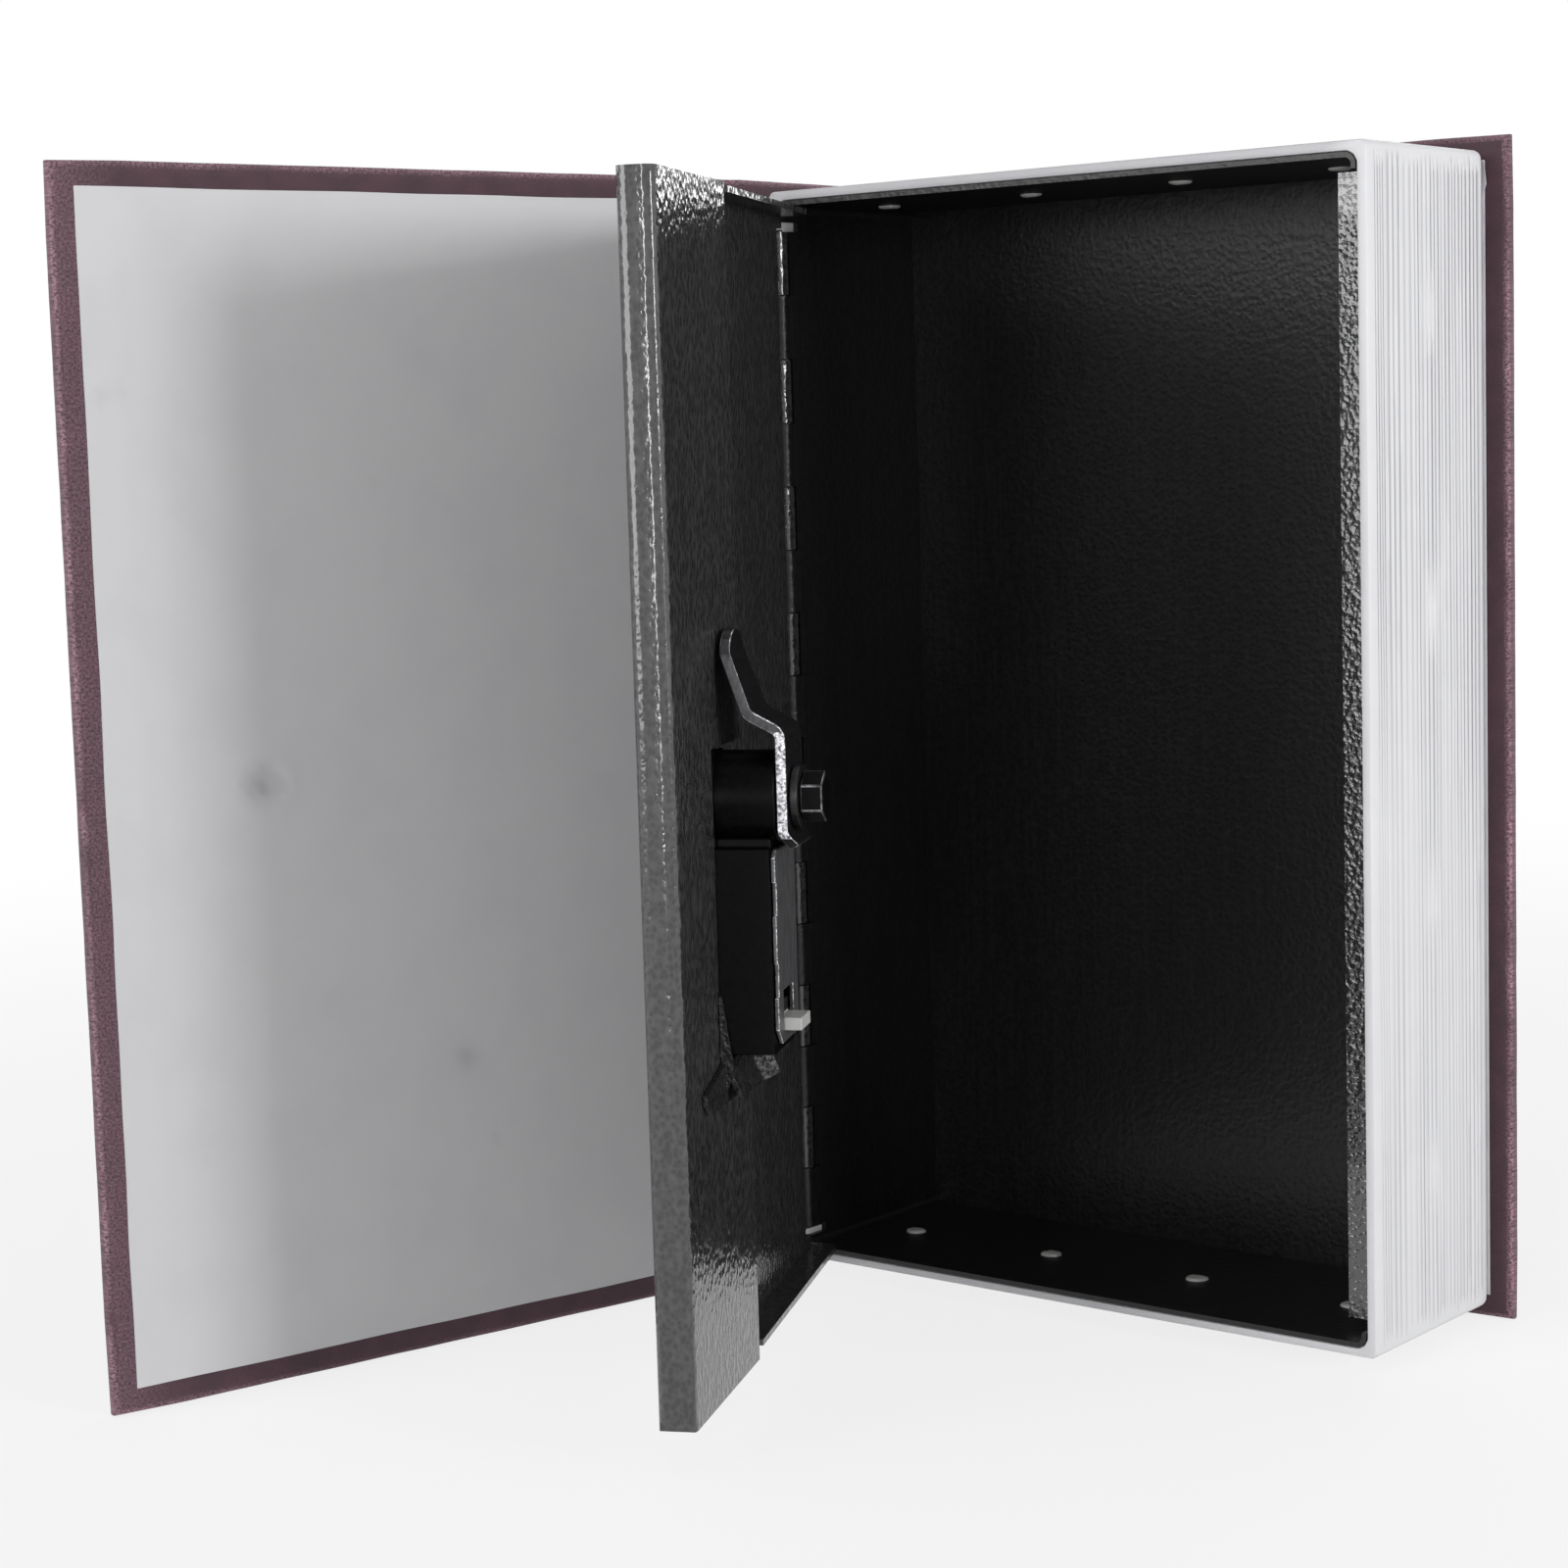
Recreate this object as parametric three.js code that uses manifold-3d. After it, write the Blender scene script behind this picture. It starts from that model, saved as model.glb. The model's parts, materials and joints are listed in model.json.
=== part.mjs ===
// A book diversion safe: a false book whose page block hides a small steel box with a hinged steel
// door and a combination cam lock. Millimetres, +Z up. The book stands on the lower edges of its covers,
// with its front cover and its door open. X runs from the spine to the fore-edge and Y from the front
// cover to the back cover. Everything is drawn shut, and the cover and the door are then swung open.
import * as THREE from "three";
import { mergeVertices } from "three/addons/utils/BufferGeometryUtils.js";
import Module from "manifold-3d";

const wasm = await Module();
wasm.setup();

// Driving dimensions of the case: two boards and a spine board under cloth.
const coverHeight = 240;
const foreSquare = 4; // how far the covers stand proud of the page block at the fore-edge
const headSquare = 3.3; // and at the top
const tailSquare = 3.6; // and at the bottom
const boardThickness = 2;
const clothThickness = 0.35;
const paperThickness = 0.25;
const glueGap = 0.15; // between neighbouring layers
const turnInWidth = 14; // cloth folded over onto the inside of a board
const paperMargin = 5; // cloth left bare round an endpaper
const coverEdgeRound = 0.8;
const boardStart = -3.2; // spine-side edge of both cover boards
const spineBoardX = -9.6; // outer face of the spine board
const coverStandoff = 3.5; // from the page block's front rim to the shut front cover
const gutterRound = 2.2;
const jointGap = 0.3;
const jointBulge = 1; // how far the bent joint cloth bows out
const coverAxisInset = 2.2; // from the spine board's outer face to the line that the cover turns on
const coverAxisDepth = 2; // from the shut cover's inner face to that line

// Driving dimensions of the false page block.
const blockWidth = 144;
const blockDepth = 49.2;
const shellWall = 2;
const shellFloorWall = 1.7; // the lower wall is thinner
const shellBack = 1;
const blockCornerRound = 4; // towards the back cover
const rimCornerRound = 2.6;
const pageRibPitch = 2;
const pageRibDepth = 0.35;
const pageRibStart = 2.6; // plain rim before the first rib
const stakeRadius = 2.3;
const stakeClearance = 0.2;
const stakeDepth = 22.5; // from the rim to the stakes' centres
const stakeMargin = 15.8; // from the outer end of a wall to its first stake
const stakeRise = 32; // from the lower end of the fore-edge to its first stake
const stakesPerWall = 4;

// Driving dimensions of the steel box.
const boxClearance = 0.2; // between the shell and the box
const boxSheet = 1;
const boxBackGap = 0.2;
const lipWidth = 8.5; // ledge on the fore-edge side that the cam catches behind
const lipInset = 2.1; // from the box's end walls to the ends of the ledge
const lipGap = 0.45; // between the shut door and the ledge

// Driving dimensions of the piano hinge.
const hingeX = 2.4;
const knuckleCount = 16;
const knuckleGap = 0.3;
const knuckleRadius = 2.1;
const pinRadius = 1.05;
const pinClearance = 0.1;
const hingeRise = 3.4; // from the lower end of the door to the first knuckle
const hingeHeadRoom = 4; // from the last knuckle to the upper end of the door
const hingeWallClearance = 0.7;
const reliefHeight = 2; // slots that free the hinge row from the corners
const reliefDepth = 5.8;
const leafJoggle = 9.5; // from the axis to the fold where the door's leaf meets its skin
const joggleHalf = 1; // half the width of that fold
const joggleRound = 0.5;
const knuckleSides = 16;

// Driving dimensions of the door, a folded steel pan.
const doorSheet = 1.2;
const doorDepth = 7.2;
const doorReach = 136; // from the hinge axis to the free edge
const doorBottomGap = 0.7;
const doorTopGap = 1.3;
const returnWidth = 47; // lip folded inward from the free side
const returnFlare = 1.3; // how far that lip's inner edge leans into the box
const doorBend = 1.8;
const flangeEnd = 80; // the end flanges stop short of the return
const flangeStart = 5.5; // beyond the ends of the hinge row the skin and its flanges start here
const flangeTaper = 2.2;
const flangeChamfer = 2.2;

// Driving dimensions of the combination cam lock.
const lockInset = 35; // from the door's free edge to the lock's spindle
const lockHeight = 118.5;
const lockHalfWidth = 9;
const barrelRadius = 8.75;
const caseDepth = 18;
const barrelDepth = 19.1;
const caseDrop = 47.2; // from the spindle to the lower end of the lock's case
const cutClearance = 0.4;
const bezelThickness = 1.2;
const bezelMargin = 2;
const fitGap = 0.2;
const shoulderWidth = 2;
const wheelRadius = 7.2;
const wheelNotch = 0.55;
const digitHalfAngle = 12; // degrees; each number stands on a flat this wide to either side
const wheelThickness = 7;
const wheelPitch = 10;
const wheelCount = 3;
const digitCount = 10;
const wheelDrop = 19; // from the spindle to the uppermost wheel
const wheelProud = 1.9;
const wheelRoom = 0.4;
const axleRadius = 1.2;
const axleSeat = 1.6; // how far the axle enters the case at each end
const knobRadius = 7;
const knobSeat = 6;
const knobFace = 1.4;
const knobBarWidth = 3.2;
const knobBarProud = 2.9;
const knobRoom = 0.4;
const spindleRadius = 4.2;
const squareSize = 5.6;
const tenonLength = 2.5;
const boltRadius = 2;
const springThickness = 0.4;
const springWidth = 6;
const plateThickness = 0.8;
const plateInset = 0.6;
const plateRise = 36.5; // height of the back plate
const plateFootCut = 3;
const plateHeadCut = 1.4;
const plateFoot = 1.6; // from the lower end of the case to the plate
const plateNotch = 0.8; // depth of the two notches in the plate's free side
const plateNotchHeight = 6.2;
const tabWidth = 8;
const tabThickness = 2.4;
const tabProud = 3.4;
const tabHeadMargin = 1.5;
const tabHeadHeight = 5;
const tabHeadThickness = 1.9;
const tabTravel = 5;
const tabFoot = 2.2; // from the foot of the back plate to the tab

// Driving dimensions of the cam and what holds it.
const camSheet = 2;
const camWidth = 14.5;
const camTipWidth = 12.4;
const camReach = 31.4;
const camHeel = 9;
const camHeelCurl = 2;
const camHeelBend = 2.8; // height of the curled end
const camHeelCut = 2;
const camStraight = 12.6; // from the spindle to the first bend
const camJogRise = 3.2;
const camJogDepth = 6.2;
const camSlant = 11.4; // length of the slanting arm
const camGap = 0.4; // between the ledge and the cam that passes behind it
const camBend = 2.4;
const washerRadius = 6;
const washerThickness = 1.4;
const hexAcrossCorners = 9.6;
const boltHeadHeight = 4.2;
const boltShank = 9;

// Driving dimensions of the clip that holds the lock's lower end.
const clipSheet = 0.9;
const clipDrop = 1.4; // from the lower end of the case to the clip
const clipHeight = 7.4;
const clipWidth = 18;
const clipCurl = 3.2; // how far the scoop's hinge side is turned out
const clipBend = 2.4;
const clipSlope = 24; // degrees by which the scoop leans out of the plate
const clipBladeHeight = 12.5;
const clipBladeWidth = 2.2;
const clipEar = 14;
const clipEarDrop = 3.4;
const clipEarRound = 2.4;

// Colours.
const clothColor = 0x5a3440;
const boardColor = 0x8a7a63;
const paperColor = 0xb9b9bb;
const plasticColor = 0xdededf;
const hammertoneColor = 0x222223;
const blackColor = 0x0e0e0f;
const darkSteelColor = 0x2a2a2c;
const plateColor = 0x77777a;
const nickelColor = 0x9b9b9d;

// How far a cutting solid runs past what it cuts.
const past = 1;

// How far the cover and the door stand open.
const coverOpening = THREE.MathUtils.degToRad(104);
const doorOpening = THREE.MathUtils.degToRad(63);

// Sizes that follow from those above.
const coverReach = blockWidth + foreSquare; // free edge of both covers, from the block's spine side
const blockBottom = tailSquare;
const blockTop = coverHeight - headSquare;
const coverThickness = paperThickness + 2 * clothThickness + boardThickness + 3 * glueGap;
const turnInDepth = paperThickness + glueGap;
const boardDepth = turnInDepth + clothThickness + glueGap;
const outerClothDepth = boardDepth + boardThickness + glueGap;
const boardInset = clothThickness + glueGap;
const backInner = blockDepth + fitGap;
const boxLeft = shellWall + boxClearance;
const boxRight = blockWidth - shellWall - boxClearance;
const boxBottom = blockBottom + shellFloorWall + boxClearance;
const boxTop = blockTop - shellWall - boxClearance;
const boxBack = blockDepth - shellBack - boxBackGap;
const doorFront = knuckleRadius - doorSheet; // from the hinge axis to the door's outer face
const lipDepth = doorFront + doorDepth + lipGap;
const doorBottom = boxBottom + boxSheet + doorBottomGap;
const doorTop = boxTop - boxSheet - doorTopGap;
const hingeBottom = doorBottom + hingeRise;
const hingeTop = doorTop - hingeHeadRoom;
const knucklePitch = (hingeTop - hingeBottom) / knuckleCount;
const boreRadius = pinRadius + pinClearance;
const rowWallEdge = knuckleRadius + hingeWallClearance;
const notchReach = knuckleRadius + 3 * knuckleGap;
const coverAxisX = spineBoardX + coverAxisInset;
const coverAxisY = -coverStandoff - coverAxisDepth;
const lockReach = doorReach - lockInset; // from the hinge axis to the lock's spindle
const caseBottom = lockHeight - caseDrop;
const axleDepth = wheelRadius - wheelProud;
const camCentre = barrelDepth + fitGap + camSheet / 2;
const camTipDepth = lipDepth - doorFront + boxSheet + camGap + camSheet / 2;
const camBack = camCentre + camSheet / 2;
const boltSeat = camBack + 2 * fitGap + washerThickness;

function solidOf(geometry) {
  geometry.deleteAttribute("normal");
  geometry.deleteAttribute("uv");
  const merged = mergeVertices(geometry, 1e-4);
  return new wasm.Manifold(
    new wasm.Mesh({
      numProp: 3,
      vertProperties: merged.attributes.position.array,
      triVerts: new Uint32Array(merged.index.array),
    }),
  );
}

function named(name, solid, color, roughness, metalness) {
  const made = solid.getMesh();
  const geometry = new THREE.BufferGeometry();
  geometry.setAttribute("position", new THREE.BufferAttribute(made.vertProperties, 3));
  geometry.setIndex(new THREE.BufferAttribute(made.triVerts, 1));
  geometry.computeVertexNormals();
  const mesh = new THREE.Mesh(geometry, new THREE.MeshStandardMaterial({ color, roughness, metalness }));
  mesh.name = name;
  return mesh;
}

function joined(pieces) {
  return pieces.reduce((whole, piece) => whole.add(piece));
}

function block(x0, x1, y0, y1, z0, z1) {
  const geometry = new THREE.BoxGeometry(x1 - x0, y1 - y0, z1 - z0);
  geometry.translate((x0 + x1) / 2, (y0 + y1) / 2, (z0 + z1) / 2);
  return solidOf(geometry);
}

// A shape drawn in X and Y, carried up from z0 to z1.
function upright(shape, z0, z1, curveSegments = 4) {
  const geometry = new THREE.ExtrudeGeometry(shape, { depth: z1 - z0, bevelEnabled: false, curveSegments });
  geometry.translate(0, 0, z0);
  return solidOf(geometry);
}

// A shape drawn in X and Z, carried back from y0 to y1.
function backward(shape, y0, y1, curveSegments = 4) {
  const geometry = new THREE.ExtrudeGeometry(shape, { depth: y1 - y0, bevelEnabled: false, curveSegments });
  geometry.rotateX(Math.PI / 2);
  geometry.translate(0, y1, 0);
  return solidOf(geometry);
}

// A shape drawn in Y and Z, carried sideways from x0 to x1.
function sideways(shape, x0, x1, curveSegments = 4) {
  const geometry = new THREE.ExtrudeGeometry(shape, { depth: x1 - x0, bevelEnabled: false, curveSegments });
  geometry.rotateX(Math.PI / 2);
  geometry.rotateZ(Math.PI / 2);
  geometry.translate(x0, 0, 0);
  return solidOf(geometry);
}

function outline(points) {
  return new THREE.Shape(points.map(([a, b]) => new THREE.Vector2(a, b)));
}

function roundedRectangle(a0, a1, b0, b1, radius) {
  const shape = new THREE.Shape();
  shape.moveTo(a0 + radius, b0);
  shape.lineTo(a1 - radius, b0);
  shape.absarc(a1 - radius, b0 + radius, radius, -Math.PI / 2, 0);
  shape.lineTo(a1, b1 - radius);
  shape.absarc(a1 - radius, b1 - radius, radius, 0, Math.PI / 2);
  shape.lineTo(a0 + radius, b1);
  shape.absarc(a0 + radius, b1 - radius, radius, Math.PI / 2, Math.PI);
  shape.lineTo(a0, b0 + radius);
  shape.absarc(a0 + radius, b0 + radius, radius, Math.PI, 1.5 * Math.PI);
  return shape;
}

function rodAlongZ(x, y, radius, z0, z1, sides = 16) {
  const geometry = new THREE.CylinderGeometry(radius, radius, z1 - z0, sides);
  geometry.rotateX(Math.PI / 2);
  geometry.translate(x, y, (z0 + z1) / 2);
  return solidOf(geometry);
}

function rodAlongY(x, z, radius, y0, y1, sides = 24) {
  const geometry = new THREE.CylinderGeometry(radius, radius, y1 - y0, sides);
  geometry.translate(x, (y0 + y1) / 2, z);
  return solidOf(geometry);
}

function rodAlongX(y, z, radius, x0, x1, sides = 16) {
  const geometry = new THREE.CylinderGeometry(radius, radius, x1 - x0, sides);
  geometry.rotateZ(Math.PI / 2);
  geometry.translate((x0 + x1) / 2, y, z);
  return solidOf(geometry);
}

// The section of a sheet that follows a line of points.
function strip(line, thickness) {
  const left = [];
  const right = [];
  line.forEach((point, i) => {
    const back = line[Math.max(i - 1, 0)];
    const ahead = line[Math.min(i + 1, line.length - 1)];
    const along = ahead.clone().sub(back).normalize();
    const across = new THREE.Vector2(-along.y, along.x).multiplyScalar(thickness / 2);
    left.push(point.clone().add(across));
    right.push(point.clone().sub(across));
  });
  return new THREE.Shape([...right, ...left.reverse()]);
}

// The section of a bent sheet: its middle line turns each corner on an arc, and the sheet lies
// half its thickness to either side.
function bentSheet(points, thickness, bend, steps = 4) {
  const corners = points.map(([a, b]) => new THREE.Vector2(a, b));
  const line = [corners[0]];
  for (let i = 1; i < corners.length - 1; i++) {
    const before = corners[i - 1].clone().sub(corners[i]).normalize();
    const after = corners[i + 1].clone().sub(corners[i]).normalize();
    const half = Math.acos(THREE.MathUtils.clamp(before.dot(after), -1, 1)) / 2;
    const setback = bend / Math.tan(half);
    const start = corners[i].clone().addScaledVector(before, setback);
    const end = corners[i].clone().addScaledVector(after, setback);
    const centre = before.clone().add(after).normalize().multiplyScalar(bend / Math.sin(half)).add(corners[i]);
    const from = start.clone().sub(centre).angle();
    let sweep = end.clone().sub(centre).angle() - from;
    if (sweep > Math.PI) sweep -= 2 * Math.PI;
    if (sweep < -Math.PI) sweep += 2 * Math.PI;
    for (let k = 0; k <= steps; k++) {
      const angle = from + (sweep * k) / steps;
      line.push(new THREE.Vector2(Math.cos(angle), Math.sin(angle)).multiplyScalar(bend).add(centre));
    }
  }
  line.push(corners[corners.length - 1]);
  return strip(line, thickness);
}

// Cover boards, cloth and endpapers. A cover is drawn with its inner face at y = 0 and its outer face
// at y = outward * coverThickness, from x0 to x1.
function layer(x0, x1, depth, thickness, inset, outward) {
  const y0 = outward * depth;
  const y1 = outward * (depth + thickness);
  return block(x0, x1, Math.min(y0, y1), Math.max(y0, y1), inset, coverHeight - inset);
}

function coverCloth(x0, x1, outward) {
  const section = roundedRectangle(0, coverThickness - turnInDepth, 0, coverHeight, coverEdgeRound);
  const lengthwise = roundedRectangle(x0 - turnInWidth, x1, 0, coverThickness - turnInDepth, coverEdgeRound);
  let wrap = sideways(section, x0, x1).translate([0, turnInDepth, 0]);
  wrap = wrap.intersect(upright(lengthwise, 0, coverHeight).translate([0, turnInDepth, 0]));
  const boardRoom = block(
    x0 - turnInWidth,
    x1 - clothThickness,
    turnInDepth + clothThickness,
    outerClothDepth,
    clothThickness,
    coverHeight - clothThickness,
  );
  const bare = block(
    x0 - turnInWidth,
    x1 - turnInWidth,
    0,
    boardDepth,
    turnInWidth,
    coverHeight - turnInWidth,
  );
  wrap = wrap.subtract(boardRoom).subtract(bare);
  return outward > 0 ? wrap : wrap.mirror([0, 1, 0]);
}

function makeCoverBoard(name, x0, x1, outward) {
  const board = layer(x0, x1 - boardInset, boardDepth, boardThickness, boardInset, outward);
  return named(name, board, boardColor, 0.95, 0);
}

function makeEndpaper(name, x0, x1, outward) {
  const paper = layer(x0, x1 - paperMargin, 0, paperThickness, paperMargin, outward);
  return named(name, paper, paperColor, 0.8, 0);
}

// The cloth of the back cover runs on round the gutter and the spine board, and is folded in
// over the ends of the spine board.
function makeCaseCloth() {
  const clothX = spineBoardX - glueGap - clothThickness / 2;
  const outerY = backInner + outerClothDepth + clothThickness / 2;
  const path = [
    [clothX, -boardInset],
    [clothX, outerY],
    [boardStart + boardInset, outerY],
  ];
  const spine = upright(bentSheet(path, clothThickness, gutterRound), 0, coverHeight);
  const back = coverCloth(boardStart, coverReach, 1).translate([0, backInner, 0]);
  const inner = spineBoardX + boardThickness + glueGap;
  const ends = [0, coverHeight - clothThickness].map((z) =>
    block(clothX, inner + clothThickness, 0, backInner, z, z + clothThickness),
  );
  const flaps = [0, coverHeight - turnInWidth].map((z) =>
    block(inner, inner + clothThickness, 0, backInner, z, z + turnInWidth),
  );
  return named("case_cloth", joined([spine, back, ...ends, ...flaps]), clothColor, 0.75, 0);
}

function makeSpineBoard() {
  const board = block(
    spineBoardX,
    spineBoardX + boardThickness,
    0,
    backInner,
    boardInset,
    coverHeight - boardInset,
  );
  return named("spine_board", board, boardColor, 0.95, 0);
}

// The cloth hinge between the spine and the front cover, as it bends with the cover open.
function makeJointCloth() {
  const clothX = spineBoardX - glueGap - clothThickness / 2;
  const start = new THREE.Vector2(clothX, -boardInset - jointGap);
  const depth = outerClothDepth + clothThickness / 2;
  const end = new THREE.Vector2(boardStart - jointGap - coverAxisX, -coverStandoff - depth - coverAxisY);
  end.rotateAround(new THREE.Vector2(0, 0), -coverOpening);
  end.add(new THREE.Vector2(coverAxisX, coverAxisY));
  const middle = start.clone().lerp(end, 0.5);
  middle.x -= jointBulge;
  const curve = new THREE.QuadraticBezierCurve(start, middle, end).getPoints(6);
  const cloth = upright(strip(curve, clothThickness), clothThickness, coverHeight - clothThickness);
  return named("front_joint_cloth", cloth, clothColor, 0.75, 0);
}

// Distances of the stakes along a wall of the page block.
function stakePlaces(from, to) {
  const step = (to - from) / (stakesPerWall - 1);
  return Array.from({ length: stakesPerWall }, (_, i) => from + i * step);
}

const wallStakes = stakePlaces(stakeMargin, blockWidth - stakeMargin - shellWall);
const foreStakes = stakePlaces(blockBottom + stakeRise, blockTop - stakeRise);

// One solid with every stake, or every stake hole, through the walls.
function stakes(radius, reach) {
  const floor = boxBottom + boxSheet;
  const roof = boxTop - boxSheet;
  const side = boxRight - boxSheet;
  const pieces = [];
  for (const x of wallStakes) {
    pieces.push(rodAlongZ(x, stakeDepth, radius, floor - reach, floor));
    pieces.push(rodAlongZ(x, stakeDepth, radius, roof, roof + reach));
  }
  for (const z of foreStakes) pieces.push(rodAlongX(stakeDepth, z, radius, side, side + reach));
  return joined(pieces);
}

// Wavy line of page ribs, from the rim to the rounded back, at a given face.
function ribbedEdge(face, outward) {
  const points = [[face, 0]];
  const last = blockDepth - blockCornerRound;
  for (let y = pageRibStart; y + pageRibPitch < last; y += pageRibPitch) {
    points.push([face, y]);
    points.push([face - outward * pageRibDepth, y + pageRibPitch / 2]);
  }
  points.push([face, last]);
  const round = blockCornerRound;
  for (let k = 1; k <= 4; k++) {
    const angle = (k / 4) * (Math.PI / 2);
    points.push([face - outward * round * (1 - Math.cos(angle)), last + round * Math.sin(angle)]);
  }
  return points;
}

// The white moulded shell that stands for the pages.
function makePageShell() {
  const fore = ribbedEdge(blockWidth, 1);
  const plan = upright(outline([[0, 0], ...fore, [0, blockDepth]]), blockBottom, blockTop);
  const lower = ribbedEdge(blockBottom, -1).map(([z, y]) => [y, z]);
  const upper = ribbedEdge(blockTop, 1).map(([z, y]) => [y, z]);
  const profile = sideways(outline([...lower, ...upper.reverse()]), 0, blockWidth);
  const low = blockBottom + shellFloorWall;
  const mouth = roundedRectangle(shellWall, blockWidth - shellWall, low, blockTop - shellWall, rimCornerRound);
  const room = backward(mouth, -past, blockDepth - shellBack);
  const rowEnd = reliefHeight / 2;
  const hingeRoom = block(-past, 2 * shellWall, -past, rowWallEdge, hingeBottom - rowEnd, hingeTop + rowEnd);
  const reach = boxClearance + boxSheet + shellWall / 2;
  const shell = plan.intersect(profile).subtract(room).subtract(hingeRoom).add(stakes(stakeRadius, reach));
  return named("page_shell", shell, plasticColor, 0.55, 0);
}

// Where the knuckles of one leaf sit along the hinge row. The lowest one is the box's.
function knuckleSpans(first) {
  const spans = [];
  for (let i = first; i < knuckleCount; i += 2) {
    const z = hingeBottom + i * knucklePitch;
    spans.push([z + knuckleGap / 2, z + knucklePitch - knuckleGap / 2]);
  }
  return spans;
}

function knuckle(x, z0, z1, tail) {
  const ring = rodAlongZ(x, 0, knuckleRadius, z0, z1, knuckleSides);
  const bore = rodAlongZ(x, 0, boreRadius, z0 - past, z1 + past, knuckleSides);
  return ring.add(upright(tail, z0, z1)).subtract(bore);
}

// The steel box: a folded tray with a ledge on its fore-edge side, hinge knuckles on its spine side
// and holes for the shell's stakes.
function makeSteelBox() {
  const outer = roundedRectangle(boxLeft, boxRight, boxBottom, boxTop, rimCornerRound - boxClearance);
  const inner = roundedRectangle(
    boxLeft + boxSheet,
    boxRight - boxSheet,
    boxBottom + boxSheet,
    boxTop - boxSheet,
    rimCornerRound - boxClearance - boxSheet,
  );
  let box = backward(outer, 0, boxBack).subtract(backward(inner, -past, boxBack - boxSheet));
  const ledgeLow = boxBottom + boxSheet + lipInset;
  const ledgeHigh = boxTop - boxSheet - lipInset;
  box = box.subtract(block(boxRight - 2 * boxSheet, boxRight + past, -past, lipDepth, ledgeLow, ledgeHigh));
  box = box.add(block(boxRight - lipWidth, boxRight, lipDepth, lipDepth + boxSheet, ledgeLow, ledgeHigh));
  const left = boxLeft - past;
  const right = boxLeft + boxSheet + past;
  const rowLow = hingeBottom - reliefHeight;
  box = box.subtract(block(left, right, -past, rowWallEdge, rowLow, hingeTop + reliefHeight));
  for (const z of [rowLow, hingeTop]) {
    box = box.subtract(block(left, right, -past, reliefDepth, z, z + reliefHeight));
  }
  box = box.subtract(stakes(stakeRadius + stakeClearance, 2 * boxSheet));
  for (const [z0, z1] of knuckleSpans(0)) box = box.add(knuckle(hingeX, z0, z1, boxTail()));
  return named("steel_box", box, hammertoneColor, 0.4, 0.3);
}

// The leaf rises from the box's wall and joggles over to the inner side of the barrel.
function boxTail() {
  const inner = hingeX + knuckleRadius;
  const outer = inner - boxSheet;
  const wallOuter = boxLeft;
  const wallInner = boxLeft + boxSheet;
  const foot = rowWallEdge + knuckleRadius;
  return outline([
    [outer, 0],
    [inner, 0],
    [inner, rowWallEdge],
    [wallInner, foot],
    [wallOuter, foot],
    [wallOuter, rowWallEdge + boxSheet],
    [outer, knuckleRadius],
  ]);
}

function makeHingePin() {
  const pin = rodAlongZ(hingeX, 0, pinRadius, hingeBottom - knuckleGap, hingeTop + knuckleGap, 12);
  return named("hinge_pin", pin, darkSteelColor, 0.35, 0.8);
}

// The door and its lock are drawn shut, with x from the hinge axis and y from the door's outer face
// into the box.
function lockOutline(margin) {
  const shape = new THREE.Shape();
  const half = lockHalfWidth + margin;
  shape.moveTo(lockReach - half, caseBottom - margin);
  shape.lineTo(lockReach + half, caseBottom - margin);
  shape.lineTo(lockReach + half, lockHeight);
  shape.absarc(lockReach, lockHeight, half, 0, Math.PI);
  return shape;
}

function makeDoor() {
  const mid = doorSheet / 2;
  const side = doorReach - mid;
  const edge = doorReach - returnWidth;
  const run = [
    [leafJoggle + joggleHalf, mid],
    [side, mid],
    [side, doorDepth - mid],
    [edge, doorDepth - mid + returnFlare],
  ];
  let door = upright(bentSheet(run, doorSheet, doorBend), doorBottom, doorTop);
  const flange = outline([
    [flangeStart, mid],
    [flangeEnd, mid],
    [flangeEnd, doorDepth],
    [flangeStart + flangeTaper, doorDepth],
    [flangeStart, doorDepth - flangeTaper],
  ]);
  const web = outline([
    [edge, mid],
    [side, mid],
    [side, doorDepth - mid],
    [edge, doorDepth - mid + returnFlare],
  ]);
  for (const z of [doorBottom, doorTop - doorSheet]) {
    door = door.add(upright(flange, z, z + doorSheet)).add(upright(web, z, z + doorSheet));
  }
  const cornerEnd = leafJoggle + 2 * joggleHalf;
  door = door.add(block(flangeStart, cornerEnd, 0, doorSheet, doorBottom, hingeBottom - knuckleGap));
  door = door.add(block(flangeStart, cornerEnd, 0, doorSheet, hingeTop + knuckleGap, doorTop));
  const corner = outline([
    [-past, doorBottom - past],
    [doorDepth, doorBottom],
    [-past, doorBottom + flangeChamfer],
  ]);
  door = door.subtract(sideways(corner, doorReach - doorSheet, doorReach + past));
  door = door.subtract(backward(lockOutline(cutClearance), -past, 2 * doorSheet, 8));
  const cutLow = caseBottom - 2 * cutClearance;
  const cutHigh = lockHeight + lockHalfWidth + 2 * cutClearance;
  const cutRight = lockReach + lockHalfWidth + cutClearance;
  const cutBack = doorDepth + 2 * returnFlare;
  door = door.subtract(block(edge - past, cutRight, doorDepth / 2, cutBack, cutLow, cutHigh));
  return named("door_pan", withKnuckles(door).translate([0, -doorFront, 0]), hammertoneColor, 0.45, 0.3);
}

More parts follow.
